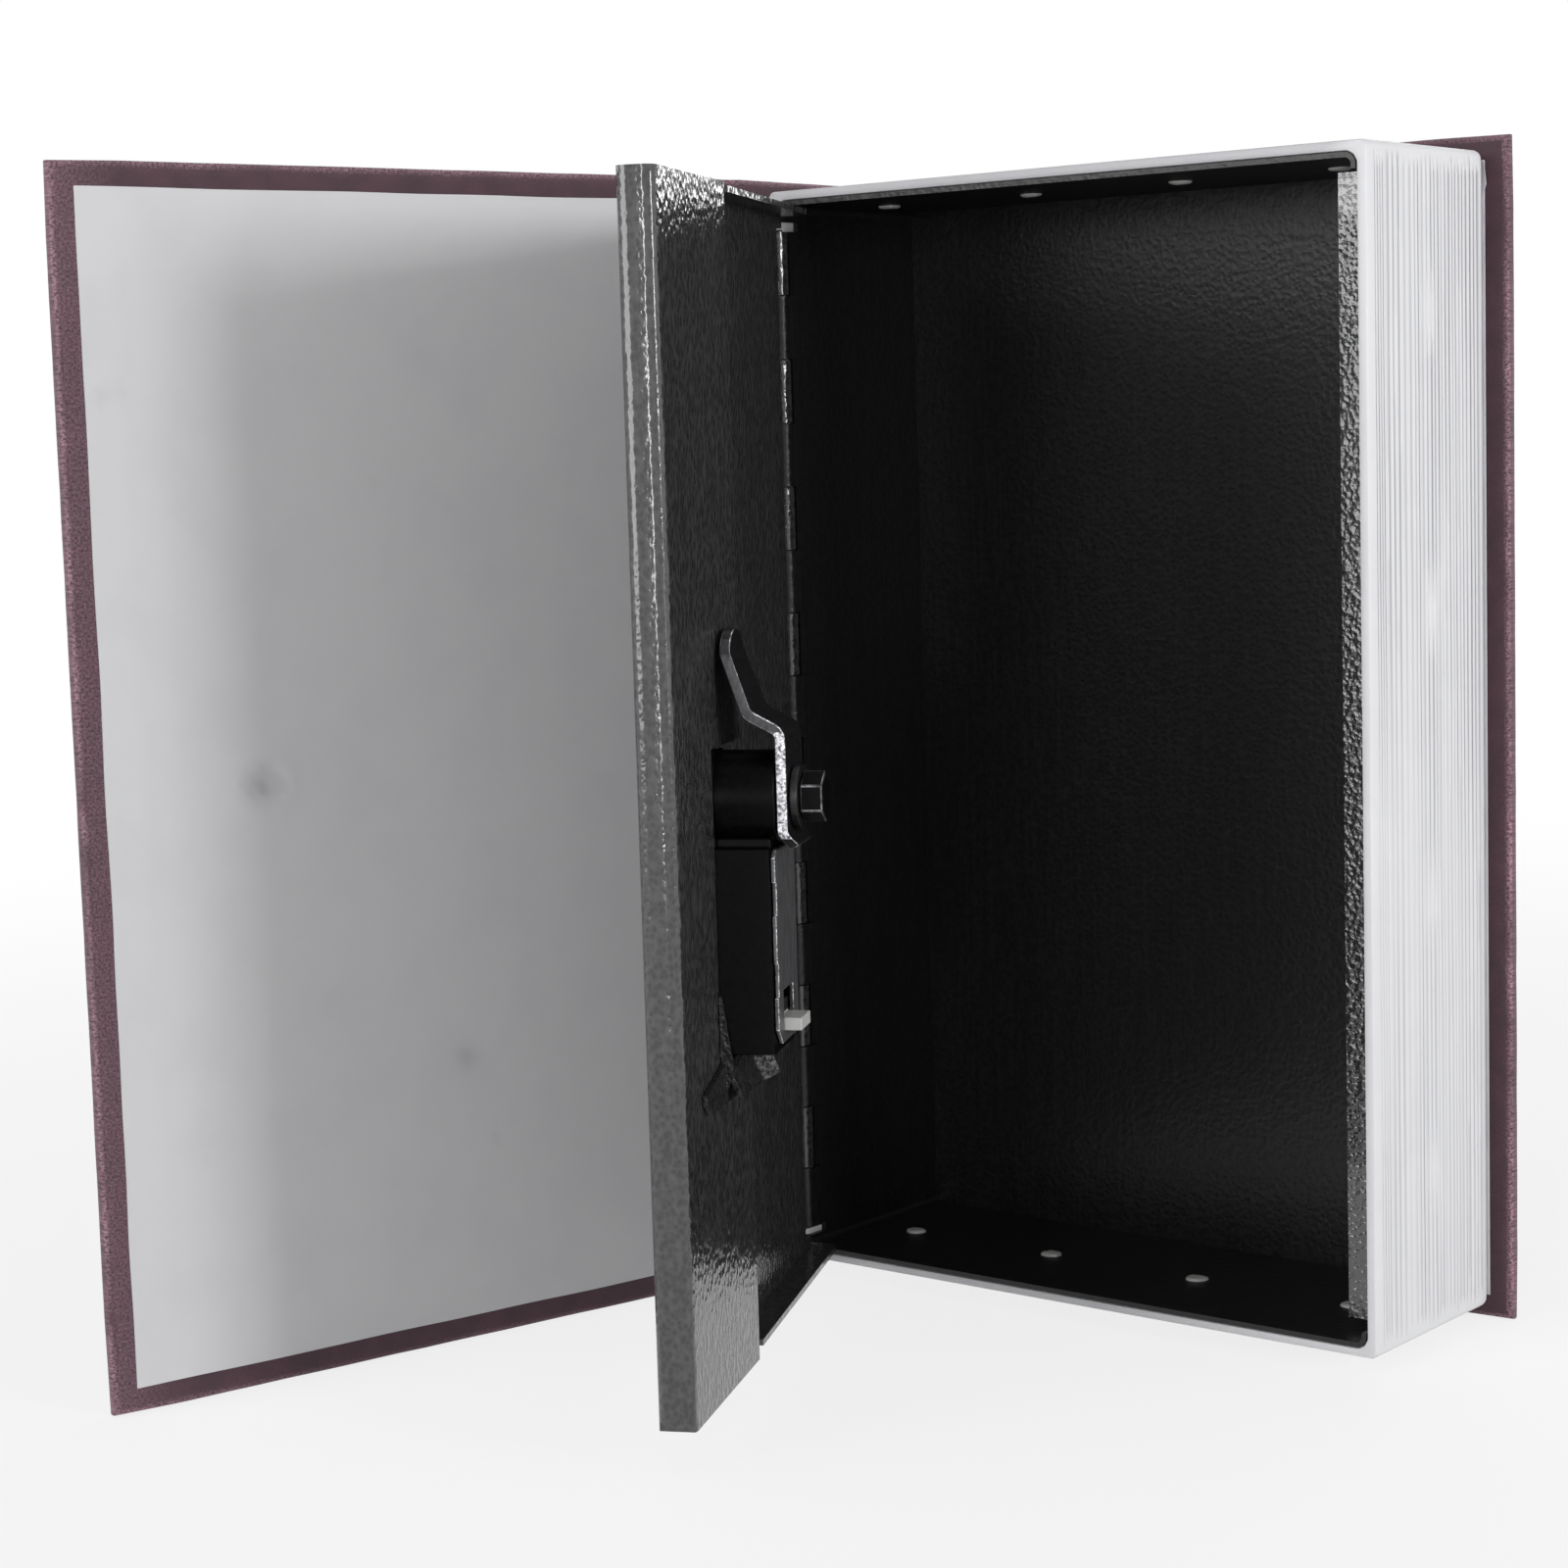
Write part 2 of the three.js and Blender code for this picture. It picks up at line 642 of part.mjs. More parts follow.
// The hinge leaf lies on the axis and joggles up to the skin. The door's own knuckles are added to it
// and the box's knuckles cleared.
function withKnuckles(door) {
  const mid = doorSheet / 2;
  const line = [
    [0, 0],
    [leafJoggle - joggleHalf, 0],
    [leafJoggle + joggleHalf, doorFront + mid],
    [leafJoggle + 3 * joggleHalf, doorFront + mid],
  ];
  let leaf = upright(bentSheet(line, doorSheet, joggleRound, 1), hingeBottom, hingeTop);
  leaf = leaf.add(door.translate([0, doorFront, 0]));
  const barrelRoom = knuckleRadius + knuckleGap;
  leaf = leaf.subtract(rodAlongZ(0, 0, barrelRoom, hingeBottom - past, hingeTop + past, knuckleSides));
  for (const [z0, z1] of knuckleSpans(0)) {
    leaf = leaf.subtract(block(-past, notchReach, -past, doorDepth, z0 - knuckleGap, z1 + knuckleGap));
  }
  const tail = outline([
    [0, -mid],
    [notchReach, -mid],
    [notchReach, mid],
    [0, mid],
  ]);
  for (const [z0, z1] of knuckleSpans(1)) leaf = leaf.add(knuckle(0, z0, z1, tail));
  return leaf;
}

// Where the pocket for the number wheels ends, upwards and downwards.
function wheelRoomEnds() {
  const centres = wheelCentres();
  const half = wheelThickness / 2 + wheelRoom;
  return [centres[wheelCount - 1] - half, centres[0] + half];
}

// The lock's case: a barrel for the spindle above a box for the number wheels.
function makeLockHousing() {
  const left = lockReach - lockHalfWidth;
  const right = lockReach + lockHalfWidth;
  const barrelFoot = lockHeight - barrelRadius;
  const shoulder = lockHalfWidth - shoulderWidth;
  let housing = joined([
    block(left, right, 0, caseDepth, caseBottom, barrelFoot),
    block(left, right, 0, doorDepth, barrelFoot - past, lockHeight),
    block(lockReach - shoulder, lockReach + shoulder, 0, caseDepth, barrelFoot - past, lockHeight - shoulder),
    rodAlongY(lockReach, lockHeight, barrelRadius, 0, barrelDepth, 32),
    rodAlongY(lockReach, lockHeight, lockHalfWidth, 0, doorDepth, 32),
  ]);
  const [roomBottom, roomTop] = wheelRoomEnds();
  const half = wheelRadius + wheelRoom;
  const roomBack = axleDepth + wheelRadius + wheelRoom + springThickness + 2 * fitGap;
  const axleHole = axleRadius + fitGap;
  housing = housing.subtract(block(lockReach - half, lockReach + half, -past, roomBack, roomBottom, roomTop));
  housing = housing.subtract(rodAlongZ(
    lockReach,
    axleDepth,
    axleHole,
    roomBottom - axleSeat - fitGap,
    roomTop + axleSeat + fitGap,
    12,
  ));
  const knobHole = knobRadius + knobRoom;
  housing = housing.subtract(rodAlongY(lockReach, lockHeight, knobHole, -past, knobSeat + fitGap, 32));
  const shaftHole = spindleRadius + fitGap;
  housing = housing.subtract(rodAlongY(lockReach, lockHeight, shaftHole, -past, barrelDepth + past, 24));
  housing = housing.subtract(tabHead(fitGap, tabTravel).add(tabStem(fitGap, tabTravel, caseDepth + past)));
  return named("lock_housing", housing, blackColor, 0.35, 0.4);
}

function tabBottom() {
  return caseBottom + plateFoot + tabFoot;
}

function tabHead(clearance, travel) {
  const half = tabWidth / 2 + tabHeadMargin + clearance;
  const bottom = tabBottom();
  const back = caseDepth - fitGap + clearance;
  return block(
    lockReach - half,
    lockReach + half,
    back - tabHeadThickness - 2 * clearance,
    clearance ? caseDepth + past : back,
    bottom - clearance,
    bottom + tabHeadHeight + clearance + travel,
  );
}

function tabStem(clearance, travel, reach) {
  const half = tabWidth / 2 + clearance;
  const bottom = tabBottom();
  return block(
    lockReach - half,
    lockReach + half,
    caseDepth - tabHeadThickness / 2,
    reach,
    bottom - clearance,
    bottom + tabThickness + clearance + travel,
  );
}

function makeResetTab() {
  const tab = tabHead(0, 0).add(tabStem(0, 0, caseDepth + plateThickness + tabProud));
  return named("reset_tab", tab, plasticColor, 0.5, 0);
}

function makeLockBackPlate() {
  const half = lockHalfWidth - plateInset;
  const y0 = caseDepth + fitGap;
  const foot = caseBottom + plateFoot;
  const shape = outline([
    [lockReach - half, foot],
    [lockReach + half - plateFootCut, foot],
    [lockReach + half, foot + plateFootCut],
    [lockReach + half, foot + plateRise - plateHeadCut],
    [lockReach + half - plateHeadCut, foot + plateRise],
    [lockReach - half, foot + plateRise],
  ]);
  let plate = backward(shape, y0, y0 + plateThickness);
  for (const z of [foot + plateRise / 3, foot + (3 * plateRise) / 4]) {
    const [low, high] = [z - plateNotchHeight / 2, z + plateNotchHeight / 2];
    const edge = lockReach + half;
    plate = plate.subtract(block(edge - plateNotch, edge + past, y0 - past, y0 + 2 * plateThickness, low, high));
  }
  plate = plate.subtract(tabStem(fitGap, tabTravel, caseDepth + 4 * plateThickness));
  return named("lock_back_plate", plate, plateColor, 0.35, 0.9);
}

// The face plate on the door's outside, with a window for each wheel and a hole for the knob.
function makeLockBezel() {
  const y1 = -fitGap;
  let bezel = backward(lockOutline(bezelMargin), y1 - bezelThickness, y1, 8);
  bezel = bezel.subtract(rodAlongY(lockReach, lockHeight, knobRadius + knobRoom, -doorDepth, past, 32));
  const reach = axleDepth + fitGap;
  const half = Math.sqrt(wheelRadius * wheelRadius - reach * reach) + wheelRoom;
  for (const z of wheelCentres()) {
    const room = wheelThickness / 2 + wheelRoom;
    bezel = bezel.subtract(block(lockReach - half, lockReach + half, -doorDepth, past, z - room, z + room));
  }
  return named("lock_bezel", bezel, nickelColor, 0.3, 0.8);
}

function wheelCentres() {
  return Array.from({ length: wheelCount }, (_, i) => lockHeight - wheelDrop - i * wheelPitch);
}

// A number wheel has a flat for each number and a finger notch between neighbours. The first flat
// faces out of the door.
function makeWheel(name, z) {
  const points = [];
  const step = 360 / digitCount;
  for (let i = 0; i < digitCount; i++) {
    for (const turn of [-digitHalfAngle, digitHalfAngle, step / 2]) {
      const angle = THREE.MathUtils.degToRad(i * step + turn - 90);
      const radius = wheelRadius - (turn === step / 2 ? wheelNotch : 0);
      points.push([lockReach + radius * Math.cos(angle), axleDepth + radius * Math.sin(angle)]);
    }
  }
  const half = wheelThickness / 2;
  let wheel = upright(outline(points), z - half, z + half);
  const bore = axleRadius + pinClearance;
  wheel = wheel.subtract(rodAlongZ(lockReach, axleDepth, bore, z - half - past, z + half + past, 12));
  return named(name, wheel, nickelColor, 0.35, 0.7);
}

function makeDialAxle() {
  const [bottom, top] = wheelRoomEnds();
  const axle = rodAlongZ(lockReach, axleDepth, axleRadius, bottom - axleSeat, top + axleSeat, 12);
  return named("dial_axle", axle, plateColor, 0.3, 0.9);
}

function makeDetentSpring() {
  const [bottom, top] = wheelRoomEnds();
  const y0 = axleDepth + wheelRadius + wheelRoom;
  const half = springWidth / 2;
  const spring = block(
    lockReach - half,
    lockReach + half,
    y0,
    y0 + springThickness,
    bottom + wheelRoom,
    top - wheelRoom,
  );
  return named("detent_spring", spring, plateColor, 0.3, 0.9);
}

// A round knob with a finger bar between two scoops.
function makeKnob() {
  let knob = rodAlongY(lockReach, lockHeight, knobRadius, -knobBarProud, knobSeat, 28);
  const half = knobBarWidth / 2;
  const low = lockHeight - knobRadius - past;
  const high = lockHeight + knobRadius + past;
  for (const side of [-1, 1]) {
    const near = lockReach + side * half;
    const far = lockReach + side * (knobRadius + past);
    const scoop = block(Math.min(near, far), Math.max(near, far), -knobBarProud - past, -knobFace, low, high);
    knob = knob.subtract(scoop);
  }
  const socket = squareRod(fitGap / 2, knobSeat - tenonLength, knobSeat + past);
  return named("lock_knob", knob.subtract(socket), nickelColor, 0.3, 0.8);
}

// The square that joins knob, spindle and cam, or the square hole for it.
function squareRod(clearance, y0, y1) {
  const half = squareSize / 2 + clearance;
  return block(lockReach - half, lockReach + half, y0, y1, lockHeight - half, lockHeight + half);
}

function makeSpindle() {
  const shaft = rodAlongY(lockReach, lockHeight, spindleRadius, knobSeat + fitGap, barrelDepth, 24);
  const square = squareRod(0, knobSeat - tenonLength + fitGap, camBack);
  const holeEnd = boltSeat - boltShank - fitGap;
  const hole = rodAlongY(lockReach, lockHeight, boltRadius + pinClearance, holeEnd, boltSeat, 12);
  return named("lock_spindle", shaft.add(square).subtract(hole), plateColor, 0.3, 0.9);
}

// The cam: a strip bent like a Z, so that its arm drops from the spindle's end to just behind the ledge.
function makeCam() {
  const jogZ = camStraight + camJogRise;
  const path = [
    [camCentre + camHeelCurl, -camHeel],
    [camCentre, -camHeel + camHeelBend],
    [camCentre, camStraight],
    [camCentre - camJogDepth, jogZ],
    [camTipDepth, jogZ + camSlant],
    [camTipDepth, camReach + past],
  ].map(([y, z]) => [y, z + lockHeight]);
  const half = camWidth / 2;
  const bent = sideways(bentSheet(path, camSheet, camBend, 3), lockReach - half, lockReach + half);
  const tip = camTipWidth / 2;
  const heel = lockHeight - camHeel;
  const shape = new THREE.Shape();
  shape.moveTo(lockReach - half + camHeelCut, heel);
  shape.lineTo(lockReach + half - camHeelCut, heel);
  shape.lineTo(lockReach + half, heel + camHeelCut);
  shape.lineTo(lockReach + half, lockHeight + camStraight);
  shape.lineTo(lockReach + tip, lockHeight + camReach - tip);
  shape.absarc(lockReach, lockHeight + camReach - tip, tip, 0, Math.PI);
  shape.lineTo(lockReach - half, lockHeight + camStraight);
  shape.lineTo(lockReach - half, heel + camHeelCut);
  const cam = bent.intersect(backward(shape, doorDepth, boltSeat + boltHeadHeight, 6));
  return named("cam", cam.subtract(squareRod(fitGap, doorDepth, boltSeat)), darkSteelColor, 0.3, 0.9);
}

function makeCamWasher() {
  const y0 = camBack + fitGap;
  const washer = rodAlongY(lockReach, lockHeight, washerRadius, y0, y0 + washerThickness, 28);
  const hole = rodAlongY(lockReach, lockHeight, boltRadius + fitGap, y0 - past, boltSeat, 12);
  return named("cam_washer", washer.subtract(hole), darkSteelColor, 0.3, 0.9);
}

function makeCamBolt() {
  const head = rodAlongY(lockReach, lockHeight, hexAcrossCorners / 2, boltSeat, boltSeat + boltHeadHeight, 6);
  const shank = rodAlongY(lockReach, lockHeight, boltRadius, boltSeat - boltShank, boltSeat + past, 12);
  return named("cam_bolt", head.add(shank), darkSteelColor, 0.3, 0.9);
}

// The clip under the case lies on the door's return: a plate with an ear on the free side, a blade up
// the side of the case and a scoop that leans out of the plate and is turned out on its hinge side.
function makeRetainingClip() {
  const front = doorDepth + fitGap;
  const high = caseBottom - clipDrop;
  const low = high - clipHeight;
  const right = lockReach + lockHalfWidth + cutClearance;
  const left = right - clipWidth;
  const plate = outline([
    [left, low],
    [right + clipEar - clipEarRound, low],
    [right + clipEar, low + clipEarRound],
    [right + clipEar, high - clipEarDrop],
    [right + clipSheet, high],
    [left, high],
  ]);
  const blade = outline([
    [front, low],
    [front + clipBladeWidth, high - clipBladeWidth],
    [front + clipBladeWidth, high],
    [front + clipSheet / 2, high + clipBladeHeight],
    [front, high + clipBladeHeight],
  ]);
  const mid = clipSheet / 2;
  const scoopLine = [
    [right, mid],
    [left + clipCurl, mid],
    [left, mid + clipCurl],
  ];
  const bent = upright(bentSheet(scoopLine, clipSheet, clipBend), -clipHeight, 0).rotate([clipSlope, 0, 0]);
  const scoopRoom = block(left - past, right, 0, caseDepth, -2 * clipHeight, 0);
  const scoop = bent.intersect(scoopRoom).translate([0, front, high]);
  const clip = joined([
    backward(plate, front, front + clipSheet),
    sideways(blade, right, right + clipSheet),
    scoop,
  ]);
  return named("retaining_clip", leantWithReturn(clip), hammertoneColor, 0.45, 0.3);
}

// Turns a piece that was drawn on a square return by as much as the return leans.
function leantWithReturn(solid) {
  const lean = THREE.MathUtils.radToDeg(Math.atan2(returnFlare, returnWidth - doorSheet / 2));
  return solid.translate([-doorReach, -doorDepth, 0]).rotate([0, 0, -lean]).translate([doorReach, doorDepth, 0]);
}

function makeFrontCover() {
  const cover = new THREE.Group();
  cover.add(makeCoverBoard("front_board", boardStart, coverReach, -1));
  cover.add(named("front_cover_cloth", coverCloth(boardStart, coverReach, -1), clothColor, 0.75, 0));
  cover.add(makeEndpaper("front_endpaper", boardStart, coverReach, -1));
  for (const mesh of cover.children) mesh.position.set(-coverAxisX, -coverStandoff - coverAxisY, 0);
  cover.position.set(coverAxisX, coverAxisY, 0);
  cover.rotation.z = -coverOpening;
  return cover;
}

function makeCase() {
  const group = new THREE.Group();
  group.add(makeCaseCloth(), makeSpineBoard(), makeJointCloth());
  const board = makeCoverBoard("back_board", boardStart, coverReach, 1);
  const paper = makeEndpaper("back_endpaper", boardStart, coverReach, 1);
  for (const mesh of [board, paper]) mesh.position.y = backInner;
  group.add(board, paper);
  return group;
}

function makeLock() {
  const lock = new THREE.Group();
  lock.add(makeLockHousing(), makeLockBezel(), makeLockBackPlate(), makeRetainingClip());
  lock.add(makeDialAxle(), makeDetentSpring(), makeResetTab());
  wheelCentres().forEach((z, i) => lock.add(makeWheel(`dial_wheel_${i + 1}`, z)));
  lock.add(makeKnob(), makeSpindle(), makeCam(), makeCamWasher(), makeCamBolt());
  return lock;
}

function makeDoorAssembly() {
  const door = new THREE.Group();
  const panel = new THREE.Group();
  panel.add(makeDoor(), makeLock());
  panel.position.y = doorFront;
  door.add(panel);
  door.position.set(hingeX, 0, 0);
  door.rotation.z = -doorOpening;
  return door;
}

// The origin is at the foot of the back cover, in the middle of the page block's width.
const book = new THREE.Group();
book.add(makeCase(), makePageShell(), makeSteelBox(), makeHingePin(), makeDoorAssembly(), makeFrontCover());
book.position.set(-blockWidth / 2, -backInner - (turnInDepth + coverThickness) / 2, 0);

export default book;
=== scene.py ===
import json
import math
import random
from functools import partial

import bmesh
import bpy
from mathutils import Matrix, Vector, noise

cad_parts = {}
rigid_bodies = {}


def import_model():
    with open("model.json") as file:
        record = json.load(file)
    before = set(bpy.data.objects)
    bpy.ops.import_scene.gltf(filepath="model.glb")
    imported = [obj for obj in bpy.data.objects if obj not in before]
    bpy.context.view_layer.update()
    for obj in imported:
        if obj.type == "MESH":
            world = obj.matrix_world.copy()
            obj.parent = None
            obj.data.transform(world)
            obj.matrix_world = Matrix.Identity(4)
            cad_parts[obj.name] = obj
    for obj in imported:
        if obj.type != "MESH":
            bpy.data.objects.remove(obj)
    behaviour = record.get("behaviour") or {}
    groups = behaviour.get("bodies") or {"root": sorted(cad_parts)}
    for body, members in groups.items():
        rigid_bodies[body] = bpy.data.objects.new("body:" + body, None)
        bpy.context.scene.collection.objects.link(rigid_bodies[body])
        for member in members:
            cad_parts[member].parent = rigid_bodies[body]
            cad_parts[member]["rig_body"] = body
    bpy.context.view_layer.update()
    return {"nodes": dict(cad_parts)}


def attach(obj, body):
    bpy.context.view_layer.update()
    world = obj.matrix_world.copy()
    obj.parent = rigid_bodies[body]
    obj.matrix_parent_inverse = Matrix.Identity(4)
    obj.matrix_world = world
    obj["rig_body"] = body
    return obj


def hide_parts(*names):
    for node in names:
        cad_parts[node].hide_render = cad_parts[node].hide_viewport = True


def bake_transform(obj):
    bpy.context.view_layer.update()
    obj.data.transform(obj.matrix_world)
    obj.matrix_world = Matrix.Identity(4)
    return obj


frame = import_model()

print("frame loaded:", len(frame["nodes"]), "nodes")

# Points are written in millimetres from the page block's front corner on the hinge side, with X to
# the fore-edge, Y to the back cover and Z up. The part's own origin is at the foot of the back cover.
blockCorner = Vector((-72.0, -51.3, 0.0))
coverSwing = {"axis": Vector((-7.4, -5.5, 0.0)), "opening": math.radians(104)}
doorSwing = {"axis": Vector((2.4, 0.0, 0.0)), "opening": math.radians(63)}


def metres(point):
    return (Vector(point) + blockCorner) / 1000


def swungCover(x, y, z):  # a point drawn on the shut cover, as it lies with the cover open
    turned = Vector((x, y, z)) - coverSwing["axis"]
    turned.rotate(Matrix.Rotation(-coverSwing["opening"], 3, "Z"))
    return turned + coverSwing["axis"]


def swungDoor(x, y, z):  # x from the hinge's axis along the door, y into the box
    turned = Vector((x, y, z))
    turned.rotate(Matrix.Rotation(-doorSwing["opening"], 3, "Z"))
    return turned + doorSwing["axis"]


def ease(value, low, high):
    share = min(max((value - low) / (high - low), 0.0), 1.0)
    return share * share * (3 - 2 * share)


def ripple(a, b, c, size):  # smooth unevenness between -1 and 1 that repeats over about size millimetres
    return noise.noise(Vector((a, b, c)) / size)


def linear(hexColor):
    channels = [int(hexColor[i:i + 2], 16) / 255 for i in (1, 3, 5)]
    return [c / 12.92 if c <= 0.04045 else ((c + 0.055) / 1.055) ** 2.4 for c in channels] + [1.0]


def connect(node, inputs):  # an input is a value, a socket, or a node's first output
    for name, value in inputs.items():
        if isinstance(value, bpy.types.Node):
            value = value.outputs[0]
        if isinstance(value, bpy.types.NodeSocket):
            node.id_data.links.new(value, node.inputs[name])
        else:
            node.inputs[name].default_value = value


def addNode(tree, kind, inputs, **settings):
    node = tree.nodes.new("ShaderNode" + kind)
    for name, value in settings.items():
        setattr(node, name, value)
    connect(node, inputs)
    return node


def newMaterial(name, color, roughness, metallic=0.0):
    material = bpy.data.materials.new(name)
    material.use_nodes = True
    shader = material.node_tree.nodes["Principled BSDF"]
    connect(shader, {"Base Color": linear(color), "Roughness": roughness, "Metallic": metallic})
    return material, partial(addNode, material.node_tree), shader


# Dyed cotton book cloth, woven and starch filled: a matt wine red with a fine even weave that
# catches a little light, rubbed pale and pinkish where it folds over the boards.
clothFinish = {
    "color": "#4C2E39", "shade": "#3A232C", "worn": "#B48C9B", "roughness": 0.62, "sheen": 0.12,
    "threadSpacing": 0.00055,  # real threads are nearer 0.35 mm, drawn coarser so that they show
    "weaveHeight": 0.00005, "strength": 0.7, "mottle": 0.006, "slub": 0.0005, "slubShare": 1.6,
    "weaveHollowShade": 0.66, "weaveTopHighlight": 1.36,
}


def makeBookCloth(spec=clothFinish):
    material, add, shader = newMaterial("wovenBookCloth", spec["color"], spec["roughness"])
    surface = add("UVMap", {}, uv_map="clothMap")
    turns = 2 * math.pi / spec["threadSpacing"]
    scaled = add("VectorMath", {"Vector": surface, "Scale": turns}, operation="SCALE")
    axes = add("SeparateXYZ", {"Vector": scaled})
    warp = add("Math", {0: axes.outputs["X"]}, operation="SINE")
    weft = add("Math", {0: axes.outputs["Y"]}, operation="SINE")
    weave = add("Math", {0: warp, 1: weft}, operation="MULTIPLY")
    slub = add("TexNoise", {"Vector": surface, "Scale": 1 / spec["slub"], "Detail": 3})
    height = add("Math", {0: slub.outputs["Fac"], 1: spec["slubShare"], 2: weave}, operation="MULTIPLY_ADD")
    bump = add("Bump", {"Strength": spec["strength"], "Distance": spec["weaveHeight"], "Height": height})
    mottle = add("TexNoise", {"Vector": surface, "Scale": 1 / spec["mottle"], "Detail": 5})
    spread = add("MapRange", {"Value": mottle.outputs["Fac"], "From Min": 0.3, "From Max": 0.7})
    base = add("Mix", {0: spread, 6: linear(spec["shade"]), 7: linear(spec["color"])}, data_type="RGBA")
    # painted shade and highlight: the colour follows the weave's height, darker in its hollows and lighter
    # on its crossings, with the slubs' own tone
    weaveShading = add("MapRange", {"Value": height, "From Min": -0.6, "From Max": 2.2,
                              "To Min": spec["weaveHollowShade"], "To Max": spec["weaveTopHighlight"]})
    toned = add("VectorMath", {"Vector": base.outputs[2], "Scale": weaveShading}, operation="SCALE")
    rubbed = add("Attribute", {}, attribute_name="rubbed")
    speckle = add("MapRange", {"Value": slub.outputs["Fac"], "From Min": 0.34, "From Max": 0.66})
    patchy = add("Math", {0: rubbed.outputs["Fac"], 1: speckle}, operation="MULTIPLY")
    worn = add("Mix", {0: patchy, 6: toned, 7: linear(spec["worn"])}, data_type="RGBA")
    connect(shader, {"Base Color": worn.outputs[2], "Normal": bump, "Sheen Weight": spec["sheen"]})
    return material


# Uncoated wove endpaper: white, soft and fibrous, with faint grey handling marks.
paperFinish = {
    "color": "#E2E2E4", "soiled": "#DDDDE0", "mark": "#77777A", "roughness": 0.85,
    "fibre": 0.0008, "cockle": 0.016, "cockleShare": 2.5, "height": 0.00003, "strength": 0.5,
}


def makePaper(spec=paperFinish):
    material, add, shader = newMaterial("woveEndpaper", spec["color"], spec["roughness"])
    place = add("TexCoord", {}).outputs["Object"]
    fibre = add("TexNoise", {"Vector": place, "Scale": 1 / spec["fibre"], "Detail": 6,
                             "Roughness": 0.7})
    soft = add("TexNoise", {"Vector": place, "Scale": 1 / spec["cockle"], "Detail": 4})
    height = add("Math", {0: soft.outputs["Fac"], 1: spec["cockleShare"],
                          2: fibre.outputs["Fac"]}, operation="MULTIPLY_ADD")
    bump = add("Bump", {"Strength": spec["strength"], "Distance": spec["height"], "Height": height})
    soil = add("MapRange", {"Value": soft.outputs["Fac"], "From Min": 0.45, "From Max": 0.8})
    base = add("Mix", {0: soil, 6: linear(spec["color"]), 7: linear(spec["soiled"])}, data_type="RGBA")
    smudge = add("Attribute", {}, attribute_name="smudge")
    marked = add("Mix", {0: smudge.outputs["Fac"], 6: base.outputs[2],
                         7: linear(spec["mark"])}, data_type="RGBA")
    connect(shader, {"Base Color": marked.outputs[2], "Normal": bump})
    return material


# Injection moulded polystyrene: clean white with a satin skin and a very slight flow pattern.
plasticFinish = {
    "color": "#E8E8EA", "cool": "#DFDFE3", "lineAndRimShade": "#77777F", "roughness": 0.42,
    "flow": 0.011, "grain": 0.0006, "height": 0.00002, "strength": 0.25,
    "scatter": 0.08, "scatterReach": 0.001, "scatterScale": 0.8,
}


def makePlastic(name, spec=plasticFinish):
    material, add, shader = newMaterial(name, spec["color"], spec["roughness"])
    place = add("TexCoord", {}).outputs["Object"]
    flow = add("TexNoise", {"Vector": place, "Scale": 1 / spec["flow"], "Detail": 3,
                            "Distortion": 0.6})
    base = add("Mix", {0: flow.outputs["Fac"], 6: linear(spec["color"]),
                       7: linear(spec["cool"])}, data_type="RGBA")
    grain = add("TexNoise", {"Vector": place, "Scale": 1 / spec["grain"], "Detail": 2})
    bump = add("Bump", {"Strength": spec["strength"], "Distance": spec["height"],
                        "Height": grain.outputs["Fac"]})
    # painted shade in the page lines, and along the rim at the head
    lineAndRimShade = add("Attribute", {}, attribute_name="lineAndRimShade")
    lined = add("Mix", {0: lineAndRimShade.outputs["Fac"], 6: base.outputs[2],
                        7: linear(spec["lineAndRimShade"])}, data_type="RGBA")
    connect(shader, {"Base Color": lined.outputs[2], "Normal": bump,
                     "Subsurface Weight": spec["scatter"], "Subsurface Scale": spec["scatterScale"],
                     "Subsurface Radius": [spec["scatterReach"]] * 3})
    return material


# Black hammertone powder coat, baked on folded sheet steel: hard and glossy, drawn into small
# puddled cells with raised veins between them, and a little aluminium flake in the black.
hammerFinish = {
    "color": "#282829", "vein": "#434344", "roughness": 0.14, "specular": 0.85,
    "cell": 0.0010, "height": 0.00006, "pebble": 0.0004, "pebbleShare": 0.3, "stretch": (1, 1, 0.8),
    "streak": 0.1, "streakStretch": (1, 1, 0.04), "streakScale": 1200, "coat": 0.0, "coatRoughness": 0.08,
}
# The door's two large faces were sprayed lying down, so the paint drew into wider, higher cells.
skinFinish = {**hammerFinish, "specular": 1.0, "cell": 0.0011, "height": 0.00018, "stretch": (1, 1, 0.6)}
# Inside the box the same paint is drawn darker, as painted shade, and dull on the walls; on the
# ledge at the mouth it keeps that darker colour and is thick and wet.
boxShadedFinish = {
    **hammerFinish, "color": "#101011", "vein": "#19191A", "roughness": 0.34, "specular": 0.4,
    "cell": 0.0012, "height": 0.00008, "stretch": (1, 1, 1), "streak": 0.2,
}
ledgeFinish = {
    **boxShadedFinish, "roughness": 0.07, "specular": 1.0, "cell": 0.0011, "height": 0.0002,
    "streak": 0.0, "coat": 1.0,
}
# The clip is dipped instead: thinner, duller and more open in its texture.
clipFinish = {
    **hammerFinish, "color": "#161617", "vein": "#303031", "roughness": 0.28, "specular": 0.2,
    "cell": 0.0009, "height": 0.0002, "stretch": (1, 1, 1), "streak": 0.0,
}


